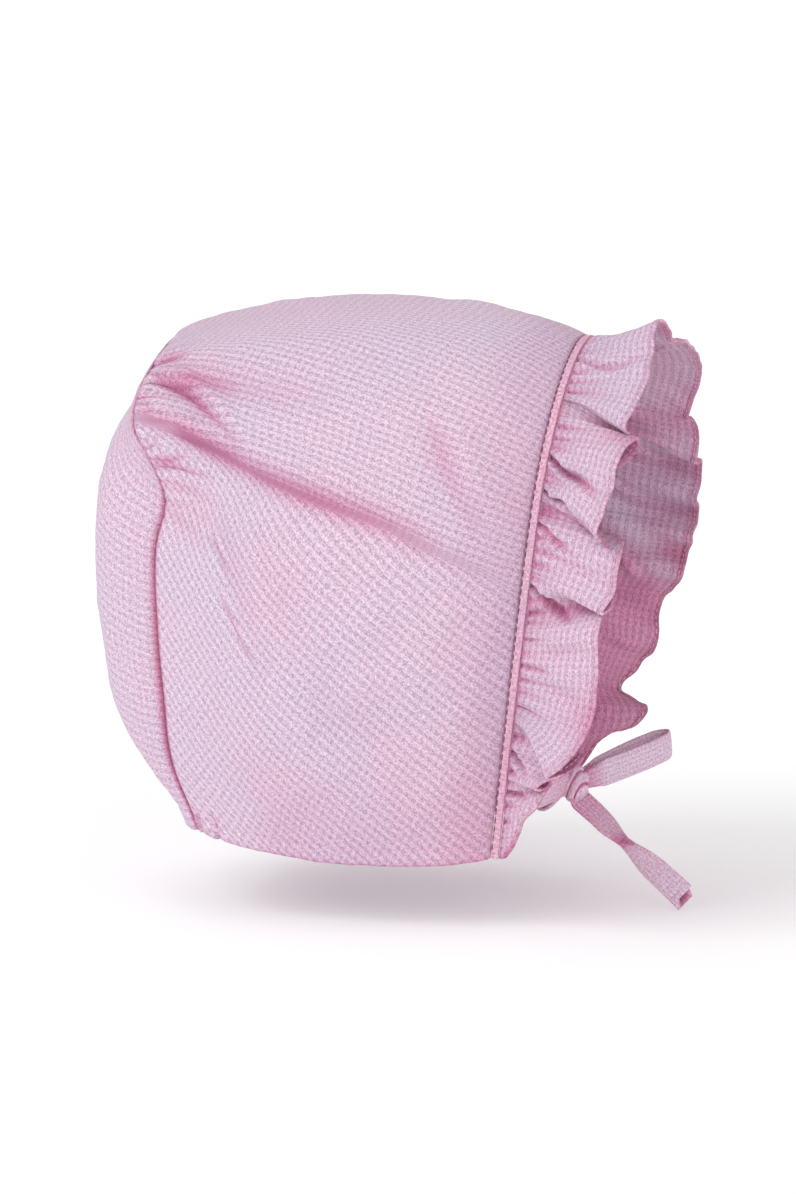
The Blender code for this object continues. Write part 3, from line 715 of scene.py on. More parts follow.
WEAVE_PITCH = 0.00060
YARNS, SPECKS, HUES, DRIFTS, CASTS = 2000.0, 2300.0, 1200.0, 90.0, 18.0
WEFT_DEPTH, WARP_DEPTH, SPECK_DEPTH = 0.34, 0.22, 0.38
BAND_ACROSS, BAND_DOWN, BAND_BOTH = 0.09, 0.24, 0.10
DRIFT_REACH = (0.0009, 0.0009, 0.0)
HUE_TINTS = ((1.0, 0.93, 0.955), (0.945, 0.985, 0.99))
CAST_TINTS = ((1.0, 0.945, 0.965), (0.95, 0.965, 1.0))


def cotton(name, pale, pink, deep, deepest, pitch, check=1.0):
    """Plain-woven cotton in a fine two-way check, read from the piece's own cloth map in metres."""
    shader = Shader(name)
    uv = shader.add("ShaderNodeUVMap", {"uv_map": "cloth"}).outputs["UV"]
    drift = shader.add("ShaderNodeTexNoise", {}, {"Vector": uv, "Scale": DRIFTS, "Detail": 2.0})
    moved = shader.vector("MULTIPLY_ADD", drift.outputs["Color"], DRIFT_REACH, uv)
    parts = shader.add("ShaderNodeSeparateXYZ", {}, [moved])
    u, v = Num(shader, parts.outputs["X"]), Num(shader, parts.outputs["Y"])
    across, down = [(line * (2 * math.pi / pitch)).sin().step(-0.75, 0.75) for line in (u, v)]
    weft = shader.noise(shader.vector("MULTIPLY", uv, (0.45, 1.0, 1.0)), YARNS, 0.0).step(0.36, 0.64)
    warp = shader.noise(shader.vector("MULTIPLY", uv, (1.0, 0.55, 1.0)), YARNS, 0.0).step(0.36, 0.64)
    specks = shader.noise(uv, SPECKS, 0.0).step(0.36, 0.64)
    bands = across * (BAND_ACROSS * check) + down * (BAND_DOWN * check) + across * down * (BAND_BOTH * check)
    amount = bands + weft * WEFT_DEPTH + warp * WARP_DEPTH + specks * SPECK_DEPTH + (0.03 - 0.19 * check)
    colour = shader.mix(amount.math("ADD", 0.0, clamp=True), opaque(pale), opaque(pink))
    for spots, tints in (
        (shader.noise(uv, HUES, 1.0).step(0.38, 0.62), HUE_TINTS),
        (shader.noise(uv, CASTS, 3.0).step(0.36, 0.64), CAST_TINTS),
    ):
        colour = shader.mix(1.0, colour, shader.mix(spots, opaque(tints[0]), opaque(tints[1])), "MULTIPLY")
    # The fold attribute carries painted shade, plus a small even deepening and the frill's pinker hem of double
    # cloth:
    fold = shader.attribute("fold")
    # it multiplies the colour by the deep tint, and past 1 by the deepest tint as well
    for depth, tint in ((fold, deep), (fold - 1.0, deepest)):
        darker = shader.mix(1.0, colour, opaque(tint), "MULTIPLY")
        colour = shader.mix(depth.math("ADD", 0.0, clamp=True), colour, darker)
    weave = (u * (2 * math.pi / WEAVE_PITCH)).sin() * (v * (2 * math.pi / WEAVE_PITCH)).sin()
    shader.bump(weave * 0.5 + specks * 0.4 + weft * 0.5 + warp * 0.3, 0.45, 0.00018)
    shader.set({
        "Base Color": colour,
        "Roughness": specks * 0.10 + 0.82,
        "Specular IOR Level": 0.2,
        "Sheen Weight": 0.10,
        "Sheen Roughness": 0.5,
    })
    shader.material.diffuse_color = opaque(pink)
    return shader.material


def sewing_thread(name, colour):
    """Twisted thread: uneven along its length, darker where it turns under."""
    shader = Shader(name)
    at = shader.add("ShaderNodeTexCoord").outputs["Object"]
    uneven = shader.noise(at, 900.0, 2.0)
    darker = opaque([0.72 * c for c in colour])
    shader.bump(uneven, 0.3, 0.0001)
    shader.set({
        "Base Color": shader.mix(uneven.step(0.3, 0.7), opaque(colour), darker),
        "Roughness": uneven * 0.2 + 0.5,
    })
    shader.material.diffuse_color = opaque(colour)
    return shader.material


# Cloth of each piece: its finish's name, its two colours, its share of the check's repeat, the check's strength
CLOTHS = {
    "crown": ("checked_cotton_crown", "pale", "pink", 1.0, 1.0),
    "back": ("checked_cotton_back", "pale", "pink", 1.0, 0.75),
    "frill": ("checked_cotton_frill", "pale", "pink", 1.0, 1.0),
    "tie": ("checked_cotton_tie", "tie_pale", "tie_pink", 0.56, 0.8),
    "binding": ("cotton_binding", "binding_pale", "binding", 0.6, 0.6),
}
MADE = {}


def finish_of(key):
    """The named finish, made once from the colours of the panel."""
    if key not in MADE:
        look = bpy.context.scene.bonnet_colours
        if key in CLOTHS:
            name, pale, pink, share, check = CLOTHS[key]
            pitch = bpy.context.scene.bonnet_sizes.check * share
            colours = [getattr(look, tint)[:] for tint in (pale, pink, "deep", "deepest")]
            MADE[key] = cotton(name, *colours, pitch, check)
        else:
            MADE[key] = sewing_thread(key, getattr(look, key)[:])
    return MADE[key]


# Geometry Nodes


class NodeTree(Tree):
    """A Geometry Nodes tree with named inputs."""

    def __init__(self, name, inputs):
        self.tree = bpy.data.node_groups.new(name, "GeometryNodeTree")
        super().__init__(self.tree)
        face = self.tree.interface
        face.new_socket("Geometry", in_out="INPUT", socket_type="NodeSocketGeometry")
        face.new_socket("Geometry", in_out="OUTPUT", socket_type="NodeSocketGeometry")
        self.names = {}
        for key, (kind, default) in inputs.items():
            made = face.new_socket(key, in_out="INPUT", socket_type=kind)
            if default is not None:
                made.default_value = default
            self.names[key] = made.identifier
        self.input = self.add("NodeGroupInput")
        self.output = self.add("NodeGroupOutput")

    def end(self, geometry, material):
        real = self.add("GeometryNodeRealizeInstances", {}, [geometry])
        finish = self.add("GeometryNodeSetMaterial", {}, {"Geometry": real.outputs[0], "Material": material})
        self.put(self.output.inputs[0], finish.outputs[0])

    def applied(self, made, values):
        """The object with its mesh replaced by what this tree makes of it."""
        modifier = made.modifiers.new(self.tree.name, "NODES")
        modifier.node_group = self.tree
        for key, value in values.items():
            modifier[self.names[key]] = value
        bpy.context.view_layer.update()
        evaluated = made.evaluated_get(bpy.context.evaluated_depsgraph_get())
        mesh = bpy.data.meshes.new_from_object(evaluated)
        made.modifiers.remove(modifier)
        old = made.data
        made.data = mesh
        bpy.data.meshes.remove(old)
        return made


def stitch_tree():
    """Rows of stitches along the edges of a mesh line."""
    net = NodeTree("stitch_row", {
        "Pitch": ("NodeSocketFloat", 0.0025),
        "Length": ("NodeSocketFloat", 0.0018),
        "Thickness": ("NodeSocketFloat", 0.0004),
        "Thread": ("NodeSocketMaterial", None),
    })
    given = net.input.outputs
    curve = net.add("GeometryNodeMeshToCurve", {}, [given["Geometry"]])
    apart = {"Curve": curve.outputs[0], "Length": given["Pitch"]}
    even = net.add("GeometryNodeResampleCurve", {"mode": "LENGTH"}, apart)
    ball = net.add("GeometryNodeMeshUVSphere", {}, {"Segments": 6, "Rings": 5, "Radius": 0.5})
    size = net.add("ShaderNodeCombineXYZ", {}, [given["Length"], given["Thickness"], given["Thickness"]])
    tangent = net.add("GeometryNodeInputTangent")
    turn = net.add("FunctionNodeAlignRotationToVector", {"axis": "X"}, {"Vector": tangent.outputs[0]})
    placed = net.add("GeometryNodeInstanceOnPoints", {}, {
        "Points": even.outputs[0],
        "Instance": ball.outputs[0],
        "Rotation": turn.outputs[0],
        "Scale": size.outputs[0],
    })
    smooth = net.add("GeometryNodeSetShadeSmooth", {}, [placed.outputs[0]])
    net.end(smooth.outputs[0], given["Thread"])
    return net


def gather_tree():
    """Small even gathers along the root of a frill, dying out towards its free edge."""
    net = NodeTree("frill_gathers", {
        "Depth": ("NodeSocketFloat", 0.0007),
        "Spacing": ("NodeSocketFloat", 0.0036),
        "Reach": ("NodeSocketFloat", 0.30),
        "Unevenness": ("NodeSocketFloat", 0.5),
        "Seed": ("NodeSocketFloat", 4.0),
        "Cloth": ("NodeSocketMaterial", None),
    })
    given = net.input.outputs
    along, across, way = [
        Num(net, net.add("GeometryNodeInputNamedAttribute", {"data_type": kind}, {"Name": name}).outputs[0])
        for kind, name in (("FLOAT", "along"), ("FLOAT", "across"), ("FLOAT_VECTOR", "way"))
    ]
    spot = along.math("DIVIDE", given["Spacing"])
    place = net.add("ShaderNodeCombineXYZ", {}, [spot, given["Seed"], None]).outputs[0]
    noise = {"Vector": place, "Scale": 0.45, "Detail": 1.0}
    uneven = Num(net, net.add("ShaderNodeTexNoise", {"noise_dimensions": "2D"}, noise).outputs["Fac"])
    wave = ((spot + uneven * given["Unevenness"] * 4.0) * (2 * math.pi)).sin()
    fade = (across.math("DIVIDE", given["Reach"]) * -1.0).math("EXPONENT")
    start = (across * 14.0).math("MINIMUM", 1.0)
    height = wave * (fade * start) * given["Depth"]
    offset = net.add("ShaderNodeVectorMath", {"operation": "SCALE"}, {0: way, "Scale": height})
    moved = net.add("GeometryNodeSetPosition", {}, {"Geometry": given["Geometry"], "Offset": offset.outputs[0]})
    net.end(moved.outputs[0], given["Cloth"])
    return net


TREES = {}


def tree_of(key):
    """The named tree, made once."""
    if key not in TREES:
        TREES[key] = stitch_tree() if key == "stitches" else gather_tree()
    return TREES[key]


def stitch_row(name, lines, thread, pitch, length, thickness):
    """Stitches along one or more lines of points, as one piece."""
    points, edges = [], []
    for line in lines:
        start = len(points)
        points += np.asarray(line).tolist()
        edges += [(start + k, start + k + 1) for k in range(len(line) - 1)]
    mesh = bpy.data.meshes.new(name)
    mesh.from_pydata(points, edges, [])
    made = bpy.data.objects.new(name, mesh)
    bpy.context.scene.collection.objects.link(made)
    sizes = {"Pitch": pitch, "Length": length, "Thickness": thickness, "Thread": finish_of(thread)}
    return tree_of("stitches").applied(made, sizes)


# Pieces


def dressed(piece, slot, *nodes):
    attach(piece, BODY)
    if nodes:
        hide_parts(*nodes)
    return piece


# Points of each cloth's grid
CROWN_COLUMNS = 381
CROWN_ROWS = 124
BACK_GRID = 171
BINDING_STATIONS = 620
KNOT_GRID = (64, 96)
TIE_POINTS, LOOP_POINTS, TAIL_POINTS = 70, 120, 110

# The back panel from neck to arch: straight up, and along its cloth
BACK_RISE = 0.094
BACK_CLOTH_RISE = 0.118

# The flat piece that the back panel is cut from, in metres
BACK_FLAT = (0.125, 0.150)


def cloth_faces(plain, way, from_seam, from_neck):
    """Inner and outer grid of a cloth over this one, rolled in at its seam and thicker at the neck's hem."""
    roll = (SEAM_ROLL * np.exp(-from_seam / ROLL_REACH))[..., None]
    hem = (HEM_THICKER * (1 - smooth_step(*NECK_HEM, from_neck)))[..., None]
    outer = plain + way * (CLOTH - roll + hem)
    return plain + way * (WALL_INSET - roll - hem * HEM_INSIDE), outer


def crown_grid():
    """Places and forward shares of the crown's grid, closer together where the gathers and hems are."""
    fine = np.linspace(-1, 1, 4001)
    far = np.abs(fine)
    gathers = smooth_step(0.10, 0.14, far) * (1 - smooth_step(0.42, 0.50, far))
    density = 1 + 1.9 * gathers + 1.2 * smooth_step(0.93, 0.95, far)
    crowd = np.concatenate(([0.0], np.cumsum((density[1:] + density[:-1]) / 2)))
    places = np.interp(np.linspace(0, crowd[-1], CROWN_COLUMNS), crowd, fine)
    forwards = np.linspace(0, 1, CROWN_ROWS) ** 1.45
    return np.meshgrid(places, forwards)


def build_crown():
    place, forward = crown_grid()
    plain, outward = crown_surface(place, forward)
    relief, fold = crown_relief(place, forward)
    behind = forward * DEPTH
    from_neck = (1 - np.abs(place)) * (SEAM.half_length * (1 - forward) + FACE.half_length * forward)
    folded = plain + outward * relief[..., None]
    way = sheet_normals(folded)
    way[0], way[-1] = outward[0], outward[-1]
    inner, outer = cloth_faces(folded, way, behind, from_neck)
    far = np.abs(place)
    low = smooth_step(0.36, 0.42, far) * (1 - smooth_step(0.86, 0.92, far))
    # Painted shade: a shadow line along the back seam, stronger low on the sides; lines at the neck hem's inner
    # edge and at the neck edge
    line = (0.8 + 1.2 * low) * bell(behind / ((0.75 + 0.15 * low) * MM))
    neck_edge_shade = 0.12 * bell((from_neck - 4.8 * MM) / (0.6 * MM)) + 0.5 * np.exp(-from_neck / (0.6 * MM))
    # Painted shade where the sides turn under towards the neck, and pink shade of the small gathers near the face
    # edge
    under = 0.26 * smooth_step(0.78, 0.95, far) * smooth_step(0.15, 0.35, forward)
    face_gather_shade = 0.24 * (1 - smooth_step(6 * MM, 26 * MM, (1 - forward) * DEPTH))
    fold = np.clip(fold + line + face_gather_shade + neck_edge_shade + under, 0, 2)
    uv = crown_grain(place, forward)
    piece = wall("crown_cloth", inner, outer, finish_of("crown"), uv, {"fold": fold})
    dressed(piece, "pink_check", "crown_panel")
    return piece


def rim_distance(points):
    """How far each point of the back panel lies from the seam round it."""
    path = SEAM.path[::4]
    flat = points.reshape(-1, 3)
    best = np.full(len(flat), 1e9)
    for a, b in zip(path, path[1:]):
        run = b - a
        t = np.clip((flat - a) @ run / (run @ run), 0, 1)
        best = np.minimum(best, np.linalg.norm(flat - a - t[:, None] * run, axis=1))
    return best.reshape(points.shape[:2])


def build_back():
    c, r = np.meshgrid(boxy(np.linspace(-1, 1, BACK_GRID), 0.92), np.linspace(0, 1, BACK_GRID))
    plain, rim = back_surface(c, r)
    way = -sheet_normals(plain)
    way[0], way[:, 0], way[:, -1] = rim[0], rim[:, 0], rim[:, -1]
    x, z = plain[..., 0], plain[..., 2]
    gap = rim_distance(plain)
    relief = 0.25 * MM * ripples(x * 1.6, z * 0.6, 22 * MM, 21) + 0.08 * MM * ripples(x, z, 8 * MM, 22)
    upper = 1 - smooth_step(0.25, 0.60, r)
    pucker = np.exp(-gap / (6 * MM)) * ripples(np.arctan2(x, z + 0.08) * 0.06, 0 * x, 5 * MM, 23, 8)
    relief += (0.03 + 0.25 * upper) * MM * pucker
    relief *= smooth_step(0, 4 * MM, gap)
    folded = plain + way * relief[..., None]
    inner, outer = cloth_faces(folded, way, gap, (1 - r) * BACK_RISE)
    # Painted shade: a dark line along the seam round the back panel, stronger towards the neck, and a faint shade
    # beside it
    fold = np.clip((0.8 + 1.2 * r) * bell(gap / (0.50 * MM)) + 0.14 * np.exp(-gap / (6 * MM)), 0, 2)
    run = np.cumsum(np.linalg.norm(np.diff(plain, axis=1, prepend=plain[:, :1]), axis=-1), axis=1)
    uv = np.stack([(run / run[:, -1:] - 0.5) * BACK_FLAT[0], -r * BACK_CLOTH_RISE], axis=-1)
    piece = wall("back_cloth", inner, outer, finish_of("back"), uv, {"fold": fold})
    dressed(piece, "pink_check_back", "back_panel")
    return piece


def build_binding():
    place = np.linspace(-1, 1, BINDING_STATIONS)
    point, ahead, out, _ = face_frame(place)
    back = SEAM_GAP / 2
    run = lengths_along(point)
    thick = BINDING_THICKNESS * 0.8
    low = (CLOTH - thick) / 2
    angles = np.linspace(0, 2 * np.pi, 16, endpoint=False) + np.pi / 16
    sections = []
    for a in angles:
        f, h = boxy(math.cos(a), 0.55), boxy(math.sin(a), 0.55)
        forward = back + BINDING_WIDTH * (0.5 + 0.5 * f)
        height = low + thick * (0.5 + 0.5 * h) + 0.05 * MM * ripples(run, 0 * run + f, 5 * MM, 31, 8)
        sections.append(point + ahead * forward + out * height[:, None])
    u = np.repeat(run[:, None], len(angles), axis=1)
    v = np.repeat((np.cos(angles) * BINDING_WIDTH / 2)[None], len(run), axis=0)
    # Painted shade along both long edges of the strip
    fold = np.repeat((0.30 * np.abs(np.cos(angles)) ** 8)[None], len(run), axis=0)
    sections, uv = np.stack(sections, axis=1), np.stack([u, v], axis=-1)
    piece = swept("face_binding", sections, finish_of("binding"), uv, {"fold": fold.ravel()})
    dressed(piece, "pink_binding", "front_binding")
    sizes = bpy.context.scene.bonnet_sizes
    seat = point + ahead * (back + BINDING_WIDTH * 0.12) + out * (low + thick * 0.95)
    stitches = stitch_row(
        "binding_stitches", [seat[6:-6]], "dark_thread", sizes.stitch_pitch, sizes.stitch_length, sizes.thread
    )
    dressed(stitches, "pink_binding")
    return piece


# The frill's grid: columns from one table row to the next, and rows. Half its thickness and what its hem adds.
# How many columns to each side a pocket's ridges are looked for, and between what depths its painted shade grows
# to full
FRILL_STEPS = 15
FRILL_ROWS = 40
FRILL_HALF = 0.00035
FRILL_HEM = 0.00016
POCKET_REACH = 22
POCKET_DEPTHS = (0.0015, 0.0080)

# Small gathers at the frill's root: share of the width in which they die out, how uneven they are, their seed
GATHER_REACH, GATHER_UNEVENNESS, GATHER_SEED = 0.24, 0.5, 4.0

# How the hem's stitches differ from the face edge's, and the columns at each end that they leave free
HEM_PITCH, HEM_LENGTH, HEM_THREAD = 0.8, 0.72, 0.8
HEM_ENDS = slice(14, -14)


def frill_sheet():
    """Middle of the frill, root to free edge, with the places of its columns."""
    right, left = np.array(RIGHT_FRILL), np.array(LEFT_FRILL)
    right[:, 0] *= -1
    left[:, 1] *= -1
    table = np.vstack([right[::-1], left])
    at = np.linspace(0, len(table) - 1, FRILL_STEPS * (len(table) - 1) + 1)
    place, along_share, out_share, width_share = through(np.arange(len(table)), table, at).T
    reach_share = np.sqrt(np.clip(1 - along_share**2 - out_share**2, 0.05, 1))
    point, ahead, out, along = face_frame(place)
    root = point + ahead * (SEAM_GAP * 1.5 + BINDING_WIDTH) + out * (CLOTH / 2)
    width = (FRILL_WIDTH * width_share)[:, None]
    shares = np.linspace(0, 1, FRILL_ROWS + 1)
    rows = []
    for share in shares:
        reach = ahead * reach_share[:, None] * share
        lean = along * (along_share * -share**FRILL_LEAN_CURVE)[:, None]
        flare = out * (out_share * share**FRILL_FLARE_CURVE)[:, None]
        rows.append(root + width * (reach + lean + flare))
    return np.array(rows), place, shares, out, width[:, 0]


def frill_relief(middle, place, shares):
    """How far the frill stands out of its plain form for its creases and pleats, and their shade."""
    run = lengths_along(middle[len(shares) // 2])
    at = np.stack(np.broadcast_arrays(run[None], shares[:, None] * FRILL_WIDTH), axis=-1)
    relief, shade = np.zeros(at.shape[:2]), np.zeros(at.shape[:2])
    for side in (-1, 1):
        for depth, width, dark, way in FRILL_CREASES:
            way = np.array(way)
            line = np.stack([np.interp(side * way[:, 0], place, run), way[:, 1] * FRILL_WIDTH], axis=-1)
            along, aside = crease_marks(at, line)
            fade = np.sin(np.pi * np.clip(0.12 + 0.88 * along, 0, 1) ** 0.75)
            d = aside / (width * MM * (0.5 + 0.5 * along))
            relief -= depth * MM * fade * (bell(d) - 0.45 * bell(np.abs(d) - 1.8))
            shade += 0.8 * dark * fade * bell(1.4 * d)
        for start, reach, depth in ROOT_PLEATS:
            near = shares[:, None] / reach
            d = (run[None] - np.interp(side * start, place, run)) / (0.9 * MM * (1 + near))
            fade = bell(near) * smooth_step(0, 0.03, shares)[:, None]
            relief -= depth * MM * fade * bell(d)
            shade += 0.5 * depth * fade * bell(1.3 * d)
    return relief, shade


def pockets(middle, out, side):
    """How deep each point lies below the nearest ridges on this side of the frill, in metres."""
    height = side * np.sum((middle - middle[:1]) * out[None], axis=-1)
    highest = height.copy()
    for shift in range(-POCKET_REACH, POCKET_REACH + 1, 2):
        highest = np.maximum(highest, np.roll(height, shift, axis=1))
    return highest - height


def hem_lines(middle, way, width, hem):
    """Where the hem's stitches run, on both faces of the frill."""
    row = np.clip((1 - hem * 0.75 / width) * FRILL_ROWS, 0, FRILL_ROWS - 1e-6)
    low, column = row.astype(int), np.arange(len(width))
    t = (row - low)[:, None]
    line = middle[low, column] * (1 - t) + middle[low + 1, column] * t
    lift = way[low, column] * (FRILL_HALF + FRILL_HEM)
    return [(line + lift)[HEM_ENDS], (line - lift)[HEM_ENDS]]


def build_frill():
    middle, place, shares, out, width = frill_sheet()
    sizes = bpy.context.scene.bonnet_sizes
    way = sheet_normals(middle)
    way = way * np.sign(np.sum(way[1:8] * out[None]))
    way[0] = out
    relief, shade = frill_relief(middle, place, shares)
    run = lengths_along(middle[-1])
    along = np.repeat(run[None], len(shares), axis=0)
    across = np.repeat(shares[:, None], len(run), axis=1)
    from_edge = (1 - across) * width[None]
    relief += 0.35 * MM * ripples(along, across * FRILL_WIDTH * 0.6, 11 * MM, 41) * across
    middle = middle + way * relief[..., None]
    hem = 1 - smooth_step(sizes.hem, sizes.hem + 0.4 * MM, from_edge)
    half = (FRILL_HALF + FRILL_HEM * hem)[..., None]
    # Painted shade: at the gathered root, in a line at the hem's inner edge and in the pockets between lobes
    root = np.exp(-across * width[None] / (1.3 * MM))
    tuck = bell((from_edge - sizes.hem - 0.2 * MM) / (0.3 * MM))
    deep, hollow = [smooth_step(*POCKET_DEPTHS, pockets(middle, out, side)) for side in (1, -1)]
    # The fold attribute: those, the creases' and pleats' painted shade, a small even deepening, and a pinker hem
    # of double cloth
    fold = np.clip(0.12 + shade + 0.9 * root + 0.25 * hem + 0.25 * tuck + 0.75 * deep, 0, 1.8)
    # The inner face: more painted shade, deepest at the root and towards the lower corners, less in a painted
    # highlight band
    within = 0.30 + 0.20 * (1 - across) + 0.8 * root + 0.40 * hem + 0.6 * tuck + 0.4 * shade + 0.35 * hollow
    painted_highlight = bell((np.abs(place)[None] - 0.45 - 0.165 * across) / 0.030)
    within = np.clip(within + 0.55 * smooth_step(0.45, 0.65, np.abs(place)) - 0.42 * painted_highlight, 0, 1.7)
    uv = np.stack([along, across * width[None]], axis=-1)
    marks = {"fold": fold, "along": along, "across": across, "way": way}
    cloth = finish_of("frill")
    inner, outer = middle - way * half, middle + way * half
    piece = wall("frill_cloth", inner, outer, cloth, uv, marks, inside={"fold": within})
    tree_of("gathers").applied(piece, {
        "Depth": sizes.gather_depth,
        "Spacing": sizes.gather_spacing,
        "Reach": GATHER_REACH,
        "Unevenness": GATHER_UNEVENNESS,
        "Seed": GATHER_SEED,
        "Cloth": cloth,
    })
    dressed(piece, "pink_frill", "ruffle")
    stitches = stitch_row(
        "frill_stitches", hem_lines(middle, way, width, sizes.hem), "pink_thread",
        sizes.stitch_pitch * HEM_PITCH, sizes.stitch_length * HEM_LENGTH, sizes.thread * HEM_THREAD,
    )
    dressed(stitches, "pink_frill")
    cut = float(np.sum(np.diff(run) * (width[1:] + width[:-1]) / 2))
    return piece


# The open end of a tie is cut at a slant: the side that is cut back, how far and over how many rings
SLANT_SIDE = np.array((-0.97, -0.20, 0.17))
SLANT_CUT = 0.0012
SLANT_RINGS = 14

# The mouth of a tie's open end: share of the outer size and how far inside, in metres
MOUTH = ((0.93, -0.0002), (0.72, 0.0000), (0.55, 0.0006), (0.45, 0.0022))


def strap_sections(path, across, width, thick, around=16):
    """Soft flat sections along a path, their width along the given directions."""
    tangents = unit(np.gradient(path, axis=0))
    across = unit(across - tangents * np.sum(across * tangents, axis=1)[:, None])
    face = np.cross(tangents, across)
    angles = np.linspace(0, 2 * np.pi, around, endpoint=False) + np.pi / around
    wide = boxy(np.cos(angles), 0.5) / 2 * np.broadcast_to(width, len(path))[:, None]
    tall = boxy(np.sin(angles), 0.8) / 2 * np.broadcast_to(thick, len(path))[:, None]
    return path[:, None] + across[:, None] * wide[..., None] + face[:, None] * tall[..., None], wide


def strap(name, path, across, slot_nodes, width=TIE_WIDTH, thick=TIE_THICKNESS, shade=0.0, open_end=False):
    """A tie of folded cotton along a path; an open end shows the mouth of its tube."""
    sections, wide = strap_sections(path, across, width, thick)
    run = lengths_along(path)
    stations, around = sections.shape[:2]
    uv = np.stack([np.repeat(run[:, None], around, 1), wide], -1)
    # A small even deepening and painted shade along the tie's folded edges; shade adds painted shade along its
    # length
    fold = 0.12 + 0.30 * (np.abs(wide) / np.abs(wide).max(axis=1, keepdims=True)) ** 6
    fold = fold + np.broadcast_to(shade, stations)[:, None]
    if open_end:
        middle, back = path[-1], unit(path[-2] - path[-1])
        last = slice(-SLANT_RINGS, None)
        near = np.sign((sections[last] - path[last, None]) @ SLANT_SIDE)
        cut = np.linspace(0, 1, SLANT_RINGS)[:, None] * near
        sections[last] += cut[..., None] * back * SLANT_CUT
        mouth = [middle + (sections[-1] - middle) * share + back * deep for share, deep in MOUTH]
        sections = np.concatenate([sections, mouth])
        uv = np.concatenate([uv, np.repeat(uv[-1:], len(mouth), axis=0)])
        # Painted shade, darkest deep in the mouth
        fold = np.concatenate([fold, np.tile(np.linspace(0.6, 2.0, len(mouth))[:, None], (1, around))])
    piece = swept(name, sections, finish_of("tie"), uv, {"fold": np.clip(fold, 0, 2).ravel()})
    return dressed(piece, "pink_tie", *slot_nodes)


def knot_place():
    """Middle of the knot, ahead of the face edge's corners."""
    _, ahead, _, _ = face_frame(np.array([TIE_START]))
    corner = FACE.point(np.array([TIE_START]))[0]
    place = corner * (0, 1, 1) + ahead[0] * (0, 1, 1) * KNOT_AHEAD
    return place + UPWARD * (KNOT_LIFT - TIE_SAG)


def knot_surface(way):
    """Where a piece that leaves the knot in this direction starts, a seam gap clear of it."""
    way = unit(np.array(way, float))
    radius = 1 / np.linalg.norm(way / (np.array(KNOT_SIZE) / 2))
    return knot_place() + way * (radius + SEAM_GAP)


def from_knot(path):
    """The path with its start carried on a little way into the knot."""
    inside = path[:1] + (knot_place() - path[:1]) * KNOT_GRIP * np.linspace(1, 0.2, 5)[:, None]
    return np.vstack([inside, path])


def build_tie(name, node, side):
    place = np.array([TIE_START * side])
    point, ahead, out, along = (value[0] for value in face_frame(place))
    anchor = point - out * (SEAM_GAP + BINDING_THICKNESS / 2 + TIE_THICKNESS / 2)
    target = knot_surface(anchor - knot_place())
    shares = np.linspace(0, 1, 5)[:, None]
    route = anchor + (target - anchor) * shares - UPWARD * TIE_SAG * np.sin(np.pi * shares)
    path = smooth_path(route, TIE_POINTS)
    turn = np.linspace(0, 1, len(path))[:, None]
    across = along * side * (1 - turn) + np.array(TIE_END_ACROSS) * turn
    return strap(name, path, across, [node], shade=0.5 * turn[:, 0] ** 3)


def build_loop(name, node, way, width_way, length, opening):
    way = unit(np.array(way, float))
    aside = unit(np.cross(width_way, way))
    rows = np.array(LOOP_OUTLINE)
    start = knot_surface(way)
    route = start + rows[:, :1] * way * length + rows[:, 1:] * aside * opening / 2
    path = smooth_path(route, LOOP_POINTS)
    ends = np.linspace(-1, 1, len(path))[:, None]
    path = path + (knot_place() - start) * KNOT_GRIP * smooth_step(0.86, 1.0, np.abs(ends))
    across = np.tile(np.cross(way, aside), (len(path), 1))
    held = smooth_step(0.80, 1.0, np.abs(ends[:, 0]))
    return strap(name, path, across, [node], width=TIE_WIDTH * (1 - 0.35 * held), shade=0.9 * held)


def build_tail(name, node, table, way, length, twist=None):
    """A tie end; where it twists over, the cloth bunches into a rounder, narrower rope."""
    rows = np.array(table)
    start = knot_surface(way)
    route = start + length * (rows[:, :1] * FORWARD + rows[:, 1:2] * SIDEWAYS - rows[:, 2:3] * UPWARD)
    path = smooth_path(route, TAIL_POINTS)
    share = lengths_along(path) / lengths_along(path)[-1]
    row_share = lengths_along(route) / lengths_along(route)[-1]
    roll = np.radians(through(row_share, rows[:, 3:4], share))
    tangents = unit(np.gradient(path, axis=0))
    flat = unit(np.cross(tangents, np.tile(SIDEWAYS, (len(path), 1))))
    across = flat * np.cos(roll) + SIDEWAYS * np.sin(roll)
    path, across = from_knot(path), np.vstack([across[:5], across])
    share = np.concatenate([np.zeros(5), share])
    bunch = bell((share - twist) / 0.11) if twist else 0 * share
    dark, reach = (0.6, 0.55) if twist else (0.8, 0.2)
    shade = dark * (1 - smooth_step(0.0, reach, share)) + 0.9 * bunch**3
    width, thick = TIE_WIDTH * (1 - 0.38 * bunch), TIE_THICKNESS * (1 + 1.5 * bunch)
    return strap(name, path, across, [node], width=width, thick=thick, shade=shade, open_end=True)


